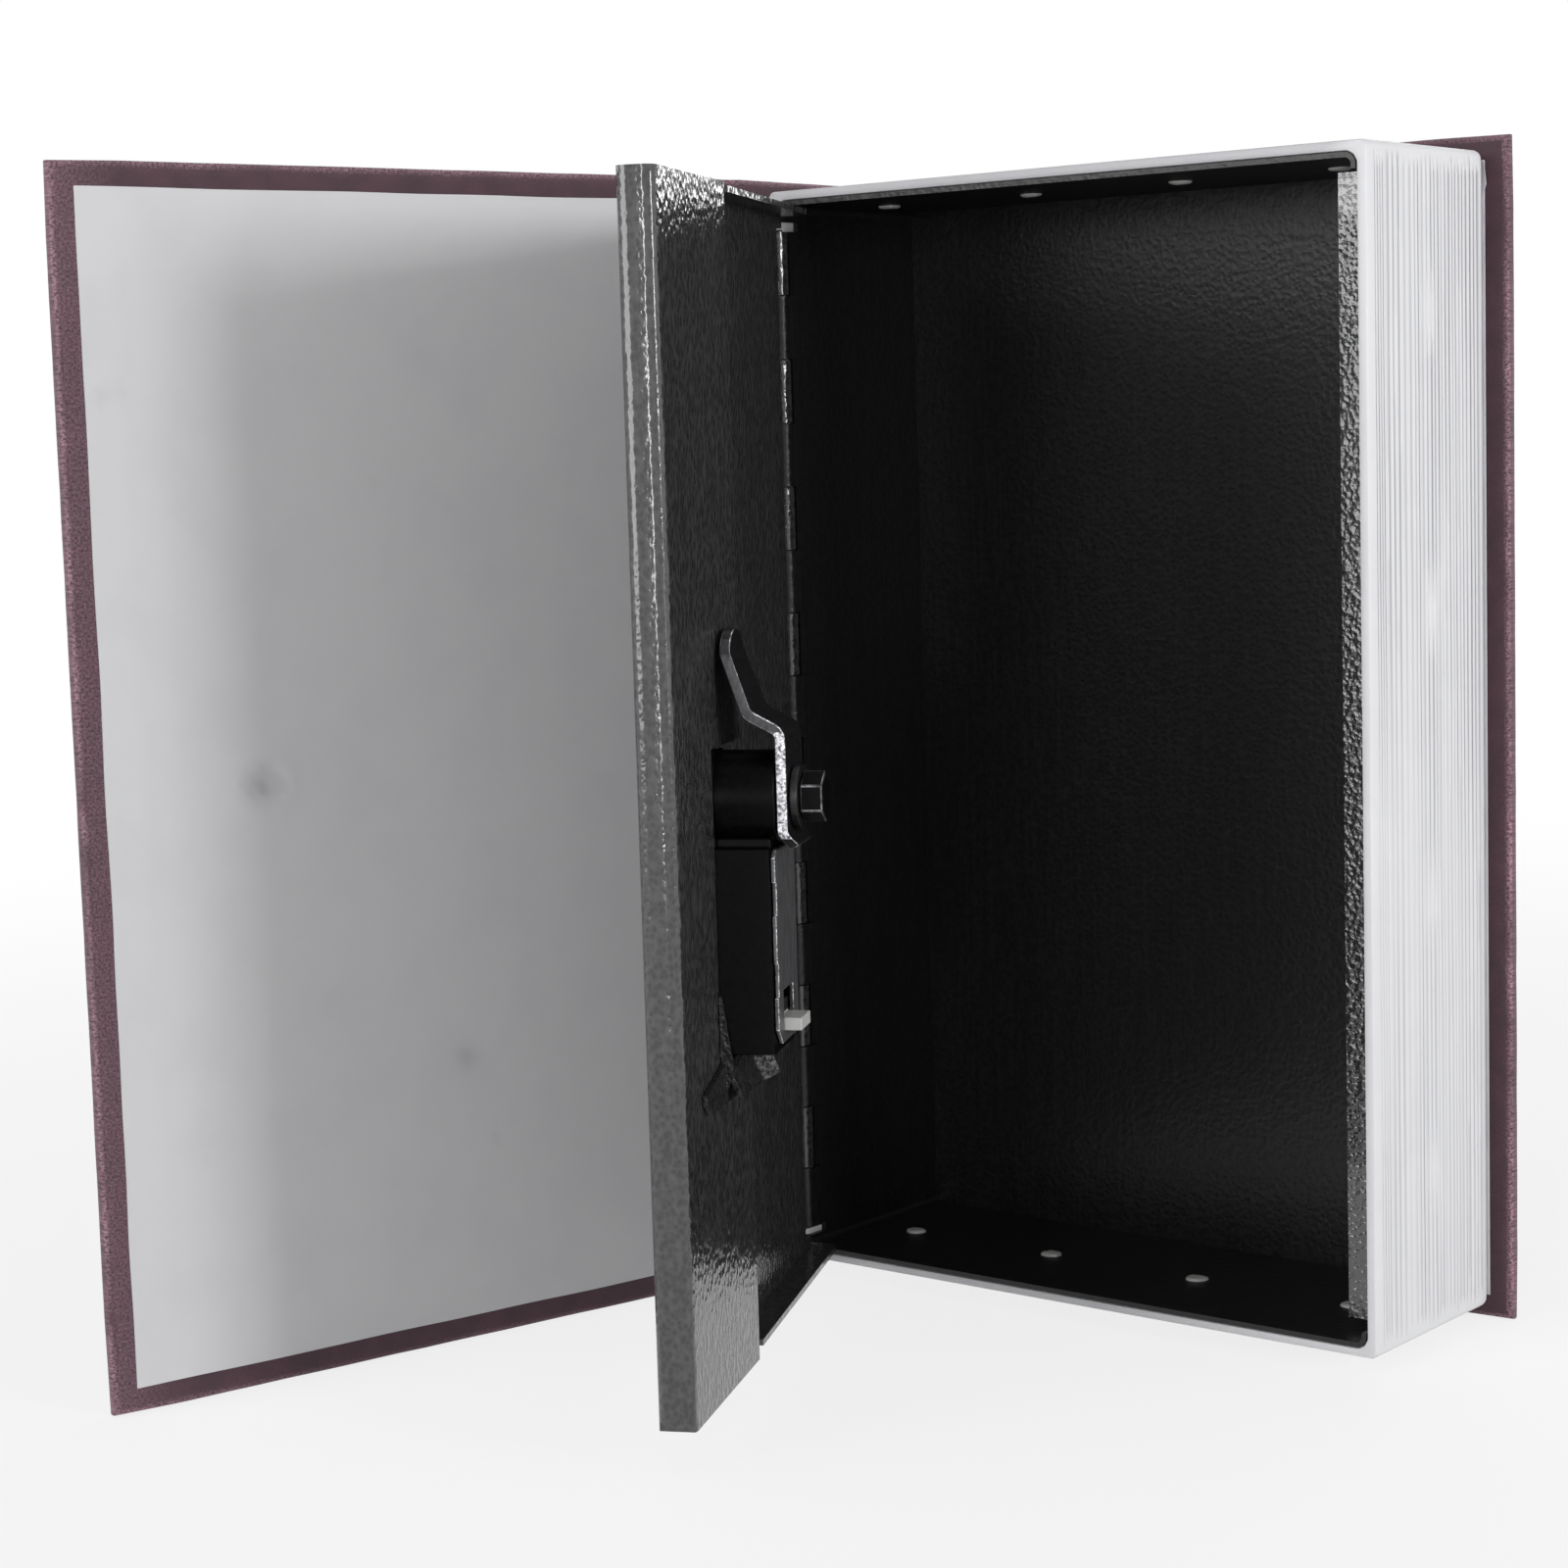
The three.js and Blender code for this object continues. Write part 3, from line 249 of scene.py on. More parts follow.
def makeHammertone(name, spec=hammerFinish):
    material, add, shader = newMaterial(name, spec["color"], spec["roughness"])
    place = add("TexCoord", {}).outputs["Object"]
    drawn = add("VectorMath", {0: place, 1: spec["stretch"]}, operation="MULTIPLY")
    # the cells' walls are bent, so that no two puddles are alike
    bend = add("TexNoise", {"Vector": drawn, "Scale": 0.6 / spec["cell"], "Detail": 1})
    shift = add("VectorMath", {"Vector": bend.outputs["Color"],
                               "Scale": 0.9 * spec["cell"]}, operation="SCALE")
    warped = add("VectorMath", {0: drawn, 1: shift}, operation="ADD")
    cells = add("TexVoronoi", {"Vector": warped, "Scale": 1 / spec["cell"],
                               "Smoothness": 0.5}, feature="SMOOTH_F1")
    pebble = add("TexNoise", {"Vector": drawn, "Scale": 1 / spec["pebble"], "Detail": 1})
    height = add("Math", {0: pebble.outputs["Fac"], 1: spec["pebbleShare"],
                          2: cells.outputs["Distance"]}, operation="MULTIPLY_ADD")
    bump = add("Bump", {"Strength": 1.0, "Distance": spec["height"], "Height": height})
    vein = add("MapRange", {"Value": cells.outputs["Distance"], "From Min": 0.25, "From Max": 0.75})
    base = add("Mix", {0: vein, 6: linear(spec["color"]), 7: linear(spec["vein"])}, data_type="RGBA")
    # faint upright runs, where the wet coat has sagged
    run = add("VectorMath", {0: place, 1: spec["streakStretch"]}, operation="MULTIPLY")
    drips = add("TexNoise", {"Vector": run, "Scale": spec["streakScale"], "Detail": 3})
    level = add("MapRange", {"Value": drips.outputs["Fac"], "From Min": 0.35, "From Max": 0.65,
                             "To Min": 1 - spec["streak"], "To Max": 1 + 1.6 * spec["streak"]})
    streaked = add("VectorMath", {"Vector": base.outputs[2], "Scale": level}, operation="SCALE")
    connect(shader, {"Base Color": streaked, "Normal": bump, "Specular IOR Level": spec["specular"],
                     "Coat Weight": spec["coat"], "Coat Roughness": spec["coatRoughness"]})
    return material


# Plain metal finishes. Each has fine unevenness in its gloss; grain is the size of it in metres, height
# its depth, and stretch draws it out along one axis into the lines that rolling or brushing leaves.
def makeMetal(name, color, tint, roughness, grain, stretch, height, metallic=1.0):
    material, add, shader = newMaterial(name, color, roughness, metallic)
    place = add("TexCoord", {}).outputs["Object"]
    drawn = add("VectorMath", {0: place, 1: stretch}, operation="MULTIPLY")
    marks = add("TexNoise", {"Vector": drawn, "Scale": 1 / grain, "Detail": 4, "Roughness": 0.6})
    spread = add("MapRange", {"Value": marks.outputs["Fac"], "From Min": 0.38, "From Max": 0.62})
    base = add("Mix", {0: spread, 6: linear(color), 7: linear(tint)}, data_type="RGBA")
    gloss = add("MapRange", {"Value": marks.outputs["Fac"], "From Min": 0.3, "From Max": 0.7,
                             "To Min": 0.8 * roughness, "To Max": 1.3 * roughness})
    bump = add("Bump", {"Strength": 0.4, "Distance": height, "Height": marks.outputs["Fac"]})
    connect(shader, {"Base Color": base.outputs[2], "Normal": bump, "Roughness": gloss})
    return material


# Grey-brown binder's board, pressed from waste paper: matt, speckled and slightly furry.
boardFinish = {
    "color": "#8C7F6D", "dark": "#6F6455", "light": "#A39681", "roughness": 0.95,
    "fleckScale": 1100, "height": 0.00008, "strength": 0.6,
}


def makeGreyboard(spec=boardFinish):
    material, add, shader = newMaterial("pressedGreyboard", spec["color"], spec["roughness"])
    place = add("TexCoord", {}).outputs["Object"]
    fleck = add("TexNoise", {"Vector": place, "Scale": spec["fleckScale"], "Detail": 5})
    base = add("Mix", {0: fleck.outputs["Fac"], 6: linear(spec["dark"]),
                       7: linear(spec["light"])}, data_type="RGBA")
    bump = add("Bump", {"Strength": spec["strength"], "Distance": spec["height"],
                        "Height": fleck.outputs["Fac"]})
    connect(shader, {"Base Color": base.outputs[2], "Normal": bump})
    return material


bookCloth = makeBookCloth()
endpaper = makePaper()
pagePlastic = makePlastic("mouldedPolystyrene")
tabAndShadedStakePlastic = makePlastic("acetalForTabAndShadedStakes", {**plasticFinish, "color": "#C9C9C6", "cool": "#BDBDBA"})
hammertone = makeHammertone("hammertonePowderCoat")
skinHammertone = makeHammertone("hammertoneOnLargeFaces", skinFinish)
boxShadedHammertone = makeHammertone("hammertoneShadedInTheBox", boxShadedFinish)
ledgeHammertone = makeHammertone("hammertoneOnTheLedge", ledgeFinish)
clipHammertone = makeHammertone("dippedHammertone", clipFinish)
greyboard = makeGreyboard()
even = (1, 1, 1)
blackEnamel = makeMetal("blackStovedEnamel", "#050506", "#0B0B0C", 0.34, 0.0012, even, 0.00002, 0.0)
# the casting's enamel is thin and dead matt
connect(blackEnamel.node_tree.nodes["Principled BSDF"], {"Specular IOR Level": 0.06})
wornEdge = makeMetal("enamelRubbedToSteel", "#8E8E92", "#3A3A3C", 0.3, 0.0016, even, 0.00001, 0.8)
cutSteel = makeMetal("blankedSteelEdge", "#48484B", "#303033", 0.36, 0.0005, (1, 1, 0.4), 0.00002, 0.3)
zincPlate = makeMetal("zincPlatedSheet", "#5F5F61", "#4A4A4C", 0.36, 0.0011, (1, 1, 0.25), 0.00001, 0.25)
blackForFiguresAndShade = makeMetal("blackNylonForFiguresAndShade", "#111112", "#19191A", 0.45, 0.0007, even, 0.00001, 0.0)
blackenedSteel = makeMetal("oilBlackenedSteel", "#121213", "#1E1E20", 0.32, 0.0009, even, 0.00002, 0.3)
brightSteel = makeMetal("filedSteelEdge", "#DCDCDF", "#505054", 0.3, 0.0006, even, 0.00008)
springSteel = makeMetal("rolledSpringSteel", "#6E6E72", "#57575B", 0.34, 0.0005, (1, 1, 0.15), 0.00001)
satinNickel = makeMetal("satinNickelPlate", "#B9B9BC", "#A5A5A9", 0.26, 0.0004, (1, 1, 0.2), 0.000008)
print("materials made:", len(bpy.data.materials))


def smoothByAngle(mesh, degrees):
    work = bmesh.new()
    work.from_mesh(mesh)
    for face in work.faces:
        face.smooth = True
    for edge in work.edges:
        edge.smooth = len(edge.link_faces) == 2 and edge.calc_face_angle() < math.radians(degrees)
    work.to_mesh(mesh)
    work.free()


def addObject(name, data):
    item = bpy.data.objects.new(name, data)
    bpy.context.scene.collection.objects.link(item)
    return item


def addPiece(name, vertices, faces, materials, degrees=40):
    mesh = bpy.data.meshes.new(name)
    mesh.from_pydata(vertices, [], faces)
    mesh.update()
    for material in materials:
        mesh.materials.append(material)
    piece = addObject(name, mesh)
    smoothByAngle(mesh, degrees)
    return piece


def addAttribute(mesh, name, values):  # one number per vertex, for a material to read
    mesh.attributes.new(name, "FLOAT", "POINT").data.foreach_set("value", values)


def applyModifiers(piece):
    graph = bpy.context.evaluated_depsgraph_get()
    final = bpy.data.meshes.new_from_object(piece.evaluated_get(graph))
    piece.modifiers.clear()
    piece.data = final


def finishPiece(piece, body, slot, *nodes):
    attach(piece, body)
    if nodes:
        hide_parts(*nodes)
    return piece


def dressNode(node, material):  # a CAD node that stays as it is
    mesh = frame["nodes"][node].data
    mesh.materials.clear()
    mesh.materials.append(material)


# A CAD node's shape with its edges eased, as paint, plating or tumbling leaves them. Its triangles
# are first welded and flat ones joined, so that only real edges are eased.
easeLimits = {"weld": 2e-6, "flatDegrees": 0.6, "smoothDegrees": 50, "segments": 2}


def easedNode(node, name, material, slot, width, degrees=35, rim=None):
    source = frame["nodes"][node]
    mesh = source.data.copy()
    mesh.name = name
    work = bmesh.new()
    work.from_mesh(mesh)
    bmesh.ops.remove_doubles(work, verts=work.verts, dist=easeLimits["weld"])
    flat = math.radians(easeLimits["flatDegrees"])
    bmesh.ops.dissolve_limit(work, angle_limit=flat, verts=work.verts, edges=work.edges)
    work.to_mesh(mesh)
    work.free()
    mesh.materials.clear()
    mesh.materials.append(material)
    for polygon in mesh.polygons:
        polygon.material_index = 0
    piece = addObject(name, mesh)
    bevel = piece.modifiers.new("easedEdges", "BEVEL")
    bevel.width = width
    bevel.segments = easeLimits["segments"]
    bevel.limit_method = "ANGLE"
    bevel.angle_limit = math.radians(degrees)
    bevel.use_clamp_overlap = True
    if rim:  # the finish shown where the edges are rubbed
        mesh.materials.append(rim)
        bevel.material = 1
    applyModifiers(piece)
    smoothByAngle(piece.data, easeLimits["smoothDegrees"])
    weighted = piece.modifiers.new("flatFaces", "WEIGHTED_NORMAL")
    weighted.keep_sharp = True
    applyModifiers(piece)
    return finishPiece(piece, source["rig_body"], slot, node)


# The case's cloth: one sheet from the back cover's free edge, round the spine and on to the front
# cover's free edge, folded in over the boards at both ends, at the head and at the tail.
caseSize = {
    "height": 240.0, "cloth": 0.35, "turnIn": 13.8, "turnRamp": 0.6, "edgeRound": 0.95, "edgeBand": 2.2,
    "boardThickness": 3.0, "jointThickness": 1.1, "freeEdge": 148.0, "boardStart": -3.2,
    "backFace": 52.8, "frontFace": -6.9, "spineFace": -10.1, "spineBack": 49.9, "spineDepth": 49.6,
    "spineBulge": 0.25, "coverStations": 25, "spineStations": 10, "rows": 40,
    "uneven": 0.07, "bumpy": 0.14, "cornerInset": 0.25, "cornerRise": 0.16,
    "flatWear": 0.04, "cornerWear": 0.35,
    "frontEdgePaling": 0.34,  # the turn-in along the front cover's free edge is made paler
    "backHeadWearShare": 0.4, "tailShadedWearShare": 0.65,  # the back cover's head keeps less wear; so does the tail, painted shade that leaves it darker
}
# How the sheet dips between the boards: place, direction into the case, thickness over the joint's own.
backJoint = [
    ((-4.2, 52.3), (0.25, -1), 0.5), ((-5.3, 51.7), (0.1, -1), 0.0), ((-6.6, 51.8), (0.1, -1), 0.0),
    ((-8.2, 52.2), (0.3, -1), 0.6), ((-9.5, 51.4), (0.7, -0.7), 1.6), ((-10.1, 49.9), (1, -0.1), 1.9),
]
frontJoint = [
    ((-10.1, 0.2), (1, 0.1), 1.9), ((-10.35, -1.4), (1, 0.1), 0.5), ((-10.75, -3.2), (1, 0), 0.0),
    ((-10.8, -5.0), (1, 0), 0.0), ((-10.45, -7.2), (1, -0.1), 0.5),
]


def caseLine(spec=caseSize):
    # Stations along the sheet's outer face: place, direction into the case, thickness over the board.
    thick, thin = spec["boardThickness"], spec["jointThickness"]
    freeEdge, boardStart = spec["freeEdge"], spec["boardStart"]
    last = spec["coverStations"] - 1
    stations = []
    for i in range(last + 1):
        x = freeEdge + (boardStart - freeEdge) * i / last
        stations.append(((x, spec["backFace"]), (0, -1), thick))
    stations += [(place, inward, thin + extra) for place, inward, extra in backJoint]
    steps = spec["spineStations"]
    for i in range(1, steps):
        y = spec["spineBack"] - spec["spineDepth"] * i / steps
        bulge = spec["spineBulge"] * math.sin(math.pi * i / steps)
        stations.append(((spec["spineFace"] - bulge, y), (1, 0), thick))
    stations += [(place, inward, thin + extra) for place, inward, extra in frontJoint]
    inward = (math.sin(coverSwing["opening"]), math.cos(coverSwing["opening"]))
    for i in range(last + 1):
        x = boardStart + (freeEdge - boardStart) * i / last
        place = swungCover(x, spec["frontFace"], 0)
        stations.append(((place.x, place.y), inward, thick))
    return stations


class SheetLine:  # the stations, looked up by their distance along the sheet
    def __init__(self, stations):
        self.points = [Vector(s[0]) for s in stations]
        self.inward = [Vector(s[1]).normalized() for s in stations]
        self.thickness = [s[2] for s in stations]
        self.along = [0.0]
        for a, b in zip(self.points, self.points[1:]):
            self.along.append(self.along[-1] + (b - a).length)
        self.length = self.along[-1]

    def at(self, s):
        i = 0
        while i < len(self.along) - 2 and self.along[i + 1] < s:
            i += 1
        share = (s - self.along[i]) / (self.along[i + 1] - self.along[i])
        place = self.points[i].lerp(self.points[i + 1], share)
        kept = min(max(share, 0.0), 1.0)
        inward = self.inward[i].lerp(self.inward[i + 1], kept).normalized()
        thickness = self.thickness[i] + (self.thickness[i + 1] - self.thickness[i]) * kept
        return place, inward, thickness


def makeCaseCloth(spec=caseSize):
    line = SheetLine(caseLine())
    height = spec["height"]
    band = spec["edgeBand"]
    turn = spec["turnIn"]
    ramp = spec["turnRamp"]
    clear = turn + 3  # the sheet's own stations start again this far from its ends
    sStops = [band, turn + ramp] + [s for s in line.along if clear < s < line.length - clear]
    sStops += [line.length - turn - ramp, line.length - band]
    rows = spec["rows"]
    vStops = [band, turn + ramp]
    vStops += [turn + ramp + (height - 2 * turn - 2 * ramp) * i / rows for i in range(1, rows)]
    vStops += [height - turn - ramp, height - band]
    vertices, faces, rubbed, flatPlace = [], [], [], []

    def sheetPoint(s, v, depth, wear):
        place, inward, thickness = line.at(s)
        uneven = spec["uneven"] * ripple(s, v, depth * 3, 17)
        lift = depth * thickness / spec["boardThickness"] + uneven
        x, y = place + inward * lift
        vertices.append(metres((x, y, min(max(v, 0.0), height))))
        rubbed.append(min(max(wear, 0.0), 1.0))
        flatPlace.append((s, v))
        return len(vertices) - 1

    grid = [[sheetPoint(s, v, 0, spec["flatWear"]) for v in vStops] for s in sStops]
    for i in range(len(sStops) - 1):
        for j in range(len(vStops) - 1):
            faces.append((grid[i][j], grid[i + 1][j], grid[i + 1][j + 1], grid[i][j + 1]))

    # The folded edge: distance in from the edge, depth through the board, and wear.
    r = spec["edgeRound"]
    full = spec["boardThickness"]
    arc = [math.radians(d) for d in (0, 30, 60, 90)]
    profile = [(r * (1 - math.sin(a)), r * (1 - math.cos(a)), wear)
               for a, wear in zip(arc, (0.25, 0.8, 0.9, 0.4))]
    profile += [(r * (1 - math.cos(a)), full - r + r * math.sin(a), wear)
                for a, wear in zip(arc, (0.4, 0.95, 1.0, 0.5))]
    profile += [(1.5, full, 0.12), (2.6, full, 0.03), (5, full, 0), (9, full, 0), (turn, full, 0),
                (turn + 0.2, full - 0.12, 0)]

    # Once round the sheet: tail, front free edge, head, back free edge.
    last = len(sStops) - 1
    top = len(vStops) - 1
    ring = [(i, 0, 0, 1) for i in range(1, last)] + [(last, 0, -1, 1)]
    ring += [(last, j, -1, 0) for j in range(1, top)] + [(last, top, -1, -1)]
    ring += [(i, top, 0, -1) for i in range(last - 1, 0, -1)] + [(0, top, 1, -1)]
    ring += [(0, j, 1, 0) for j in range(top - 1, 0, -1)] + [(0, 0, 1, 1)]
    loops = [[grid[i][j] for i, j, _, _ in ring]]
    for distance, depth, wear in profile:
        loop = []
        for i, j, ds, dv in ring:
            s = sStops[i] if ds == 0 else (0.0 if ds > 0 else line.length)
            v = vStops[j] if dv == 0 else (0.0 if dv > 0 else height)
            corner = ds != 0 and dv != 0
            inset = distance
            if distance < 1:  # on the rounded edge itself
                inset += spec["cornerInset"] if corner else 0
                inset += spec["bumpy"] * abs(ripple(s + v, depth * 5, 3, 9)) if depth > 0 else 0
            raised = depth + (spec["cornerRise"] if corner and depth >= full else 0)
            patch = 0.75 + 0.7 * ripple(s, v, 9, 14) + 0.5 * ripple(s, v, depth * 2, 2.2)
            onBackHead = dv < 0 and s < spec["freeEdge"] + 2
            # less of the pale wear is kept at the tail, which leaves the tail strip darker: painted shade
            kept = spec["backHeadWearShare"] if onBackHead else spec["tailShadedWearShare"] if dv > 0 else 1.0
            worn = wear * patch * kept
            worn += spec["frontEdgePaling"] if ds < 0 and 1 < distance < turn else 0.0
            worn += spec["cornerWear"] if corner and wear > 0.3 else 0
            loop.append(sheetPoint(s + ds * inset, v + dv * inset, raised, worn))
        loops.append(loop)
    for inner, outer in zip(loops, loops[1:]):
        for k in range(len(ring)):
            n = (k + 1) % len(ring)
            faces.append((inner[n], inner[k], outer[k], outer[n]))
    piece = addPiece("caseCloth", vertices, faces, [bookCloth], 60)
    mesh = piece.data
    layer = mesh.uv_layers.new(name="clothMap")
    for loop in mesh.loops:
        s, v = flatPlace[loop.vertex_index]
        layer.data[loop.index].uv = (s / 1000, v / 1000)
    addAttribute(mesh, "rubbed", rubbed)
    solid = piece.modifiers.new("clothThickness", "SOLIDIFY")
    solid.thickness = spec["cloth"] / 1000
    solid.offset = -1
    applyModifiers(piece)
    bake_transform(piece)
    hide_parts("case_cloth", "front_joint_cloth", "front_cover_cloth")


makeCaseCloth()
for node in ("front_board", "back_board", "spine_board"):
    dressNode(node, greyboard)
print("case covered")


# The front endpaper: pasted down over the turned-in cloth, so it steps down where the cloth ends,
# with soft cockles, a dent that the shut lock's bolt has pressed into it and a few handling marks.
paperSize = {
    "start": -2.0, "end": 143.0, "bottom": 5.0, "top": 235.0, "face": -3.58, "thickness": 0.32,
    "columns": 96, "rows": 150, "margin": 5, "step": 0.22, "stepFrom": 13.2, "stepTo": 15.2, "cockle": 0.05,
}
paperDents = [  # distance from the spine side, height, radius, depth, smudge
    (109.5, 120.0, 3.4, 0.38, 0.55), (106.0, 119.0, 1.6, 0.16, 0.5), (65.7, 59.5, 2.6, 0.12, 0.35),
    (82.0, 178.0, 1.0, 0.08, 0.1), (60.0, 41.0, 0.9, 0.08, 0.25), (139.5, 195.5, 1.6, 0.2, 0.15),
    (136.0, 196.5, 2.2, 0.18, 0.12),
]


def makeFrontEndpaper(spec=paperSize):
    vertices, faces, smudges = [], [], []
    columns, rows = spec["columns"], spec["rows"]
    margin = spec["margin"]  # from the paper's edge to the board's
    for side in (0, 1):
        for i in range(columns + 1):
            for j in range(rows + 1):
                x = spec["start"] + (spec["end"] - spec["start"]) * i / columns
                z = spec["bottom"] + (spec["top"] - spec["bottom"]) * j / rows
                x += 0.25 * ripple(0, z, 1, 22) * (i == columns)
                z += 0.2 * ripple(x, 0, 2, 25) * (j in (0, rows))
                edge = min(spec["end"] - x + margin, z - spec["bottom"] + margin, spec["top"] - z + margin)
                lift = -spec["step"] * ease(edge, spec["stepFrom"], spec["stepTo"])
                cockle = ripple(x, z * 0.5, 5, 21) + 0.5 * ripple(x, z, 7, 9)
                lift += spec["cockle"] * cockle * ease(edge, margin, margin + 4)
                mark = 0.0
                for atX, atZ, radius, depth, smudge in paperDents:
                    away = math.hypot(x - atX, z - atZ) / radius
                    dent = math.exp(-away * away)
                    rim = math.exp(-((away - 1.7) * 2) ** 2)
                    lift += -depth * dent + 0.35 * depth * rim
                    mark = max(mark, smudge * dent * (0.6 + 0.8 * ripple(x, z, 3, 1.5)))
                y = spec["face"] + lift - (spec["thickness"] if side else 0)
                vertices.append(metres(swungCover(x, y, z)))
                smudges.append(min(max(mark, 0), 1))
    size = (columns + 1) * (rows + 1)
    for i in range(columns):
        for j in range(rows):
            a = i * (rows + 1) + j
            quad = (a, a + 1, a + rows + 2, a + rows + 1)
            faces.append(quad)
            faces.append(tuple(size + v for v in reversed(quad)))
    border = list(range(rows)) + [i * (rows + 1) + rows for i in range(columns)]
    border += [columns * (rows + 1) + j for j in range(rows, 0, -1)]
    border += [i * (rows + 1) for i in range(columns, 0, -1)]
    for k, a in enumerate(border):
        b = border[(k + 1) % len(border)]
        faces.append((b, a, size + a, size + b))
    piece = addPiece("frontEndpaper", vertices, faces, [endpaper], 50)
    addAttribute(piece.data, "smudge", smudges)
    finishPiece(piece, "front_cover", "endpaper", "front_endpaper")


makeFrontEndpaper()
dressNode("back_endpaper", endpaper)
print("endpapers pasted")


# The false page block: a moulded shell whose three outer walls are drawn with page lines.
shellSize = {
    "left": 0.0, "right": 144.0, "bottom": 3.6, "top": 236.7, "depth": 49.2,
    "wall": 2.0, "floor": 1.7, "back": 1.0, "outerRound": 1.3, "innerRound": 2.6, "backRound": 4.0,
    "hingeLow": 9.6, "hingeHigh": 229.2, "hingeRim": 2.8,  # the rim is cut back for the hinge's knuckles
    "skin": 0.02,  # the page lines are drawn this far inside the solid's face
    # the rim along the head is darkened as painted shade
    "lineStart": 2.6, "lineDepth": 0.42, "lineShade": 3.8, "cornerGap": (0.3, 2.0), "headRimShade": 0.32,
    "sinkRise": (36.0, 90.0, 148.0, 205.5), "sinkDepth": 24.5,  # the marks over the stakes' roots
}
# The page lines lie in three bands: depth where the band ends, range of pitch, range of strength.
lineBands = [
    (6, (0.8, 1.1), (0.45, 0.75)), (17, (1.6, 2.5), (0.25, 0.7)), (math.inf, (1.1, 1.9), (0.45, 1.0)),
]
lineProfile = [(0.0, 0.0), (0.58, 0.0), (0.66, 1.0), (0.9, 1.0)]  # share of the pitch, share of the depth


def shellPath(spec=shellSize):
    # Samples round the block: outer place, inner place, share of page lines, distance to the nearest corner.
    left, right, bottom, top = spec["left"], spec["right"], spec["bottom"], spec["top"]
    inLeft, inRight = left + spec["wall"], right - spec["wall"]
    inBottom, inTop = bottom + spec["floor"], top - spec["wall"]
    ro, ri = spec["outerRound"], spec["innerRound"]
    samples = []

    def straight(outerA, outerB, innerA, innerB, stops, ribs):
        length = (Vector(outerB) - Vector(outerA)).length
        for share in stops:
            outer = Vector(outerA).lerp(Vector(outerB), share)
            inner = Vector(innerA).lerp(Vector(innerB), share)
            samples.append((outer, inner, ribs, min(share, 1 - share) * length))

    def corner(outerCentre, innerCentre, startDegrees, ribs):
        for d in (15, 45, 75):
            a = math.radians(startDegrees + d)
            turn = Vector((math.cos(a), math.sin(a)))
            samples.append((Vector(outerCentre) + turn * ro, Vector(innerCentre) + turn * ri, ribs, 0.0))

    def evenStops(count):
        ends = [0.006, 0.014, 0.025]
        return sorted([0, 1] + ends + [i / count for i in range(1, count)] + [1 - e for e in ends])

    straight((left + ro, bottom), (right - ro, bottom),
             (inLeft + ri, inBottom), (inRight - ri, inBottom), evenStops(24), 1)
    corner((right - ro, bottom + ro), (inRight - ri, inBottom + ri), -90, 1)
    straight((right, bottom + ro), (right, top - ro),
             (inRight, inBottom + ri), (inRight, inTop - ri), evenStops(64), 1)
    corner((right - ro, top - ro), (inRight - ri, inTop - ri), 0, 1)
    straight((right - ro, top), (left + ro, top),
             (inRight - ri, inTop), (inLeft + ri, inTop), evenStops(24), 1)
    corner((left + ro, top - ro), (inLeft + ri, inTop - ri), 90, 0)
    run = top - bottom - 2 * ro
    low, high = spec["hingeLow"], spec["hingeHigh"]
    hinge = [(top - ro - z) / run for z in (high + 0.02, high, low, low - 0.02)]
    stops = sorted([0, 1] + hinge + [i / 12 for i in range(1, 12)])
    straight((left, top - ro), (left, bottom + ro), (inLeft, inTop - ri), (inLeft, inBottom + ri), stops, 0)
    corner((left + ro, bottom + ro), (inLeft + ri, inBottom + ri), 180, 0)
    return samples


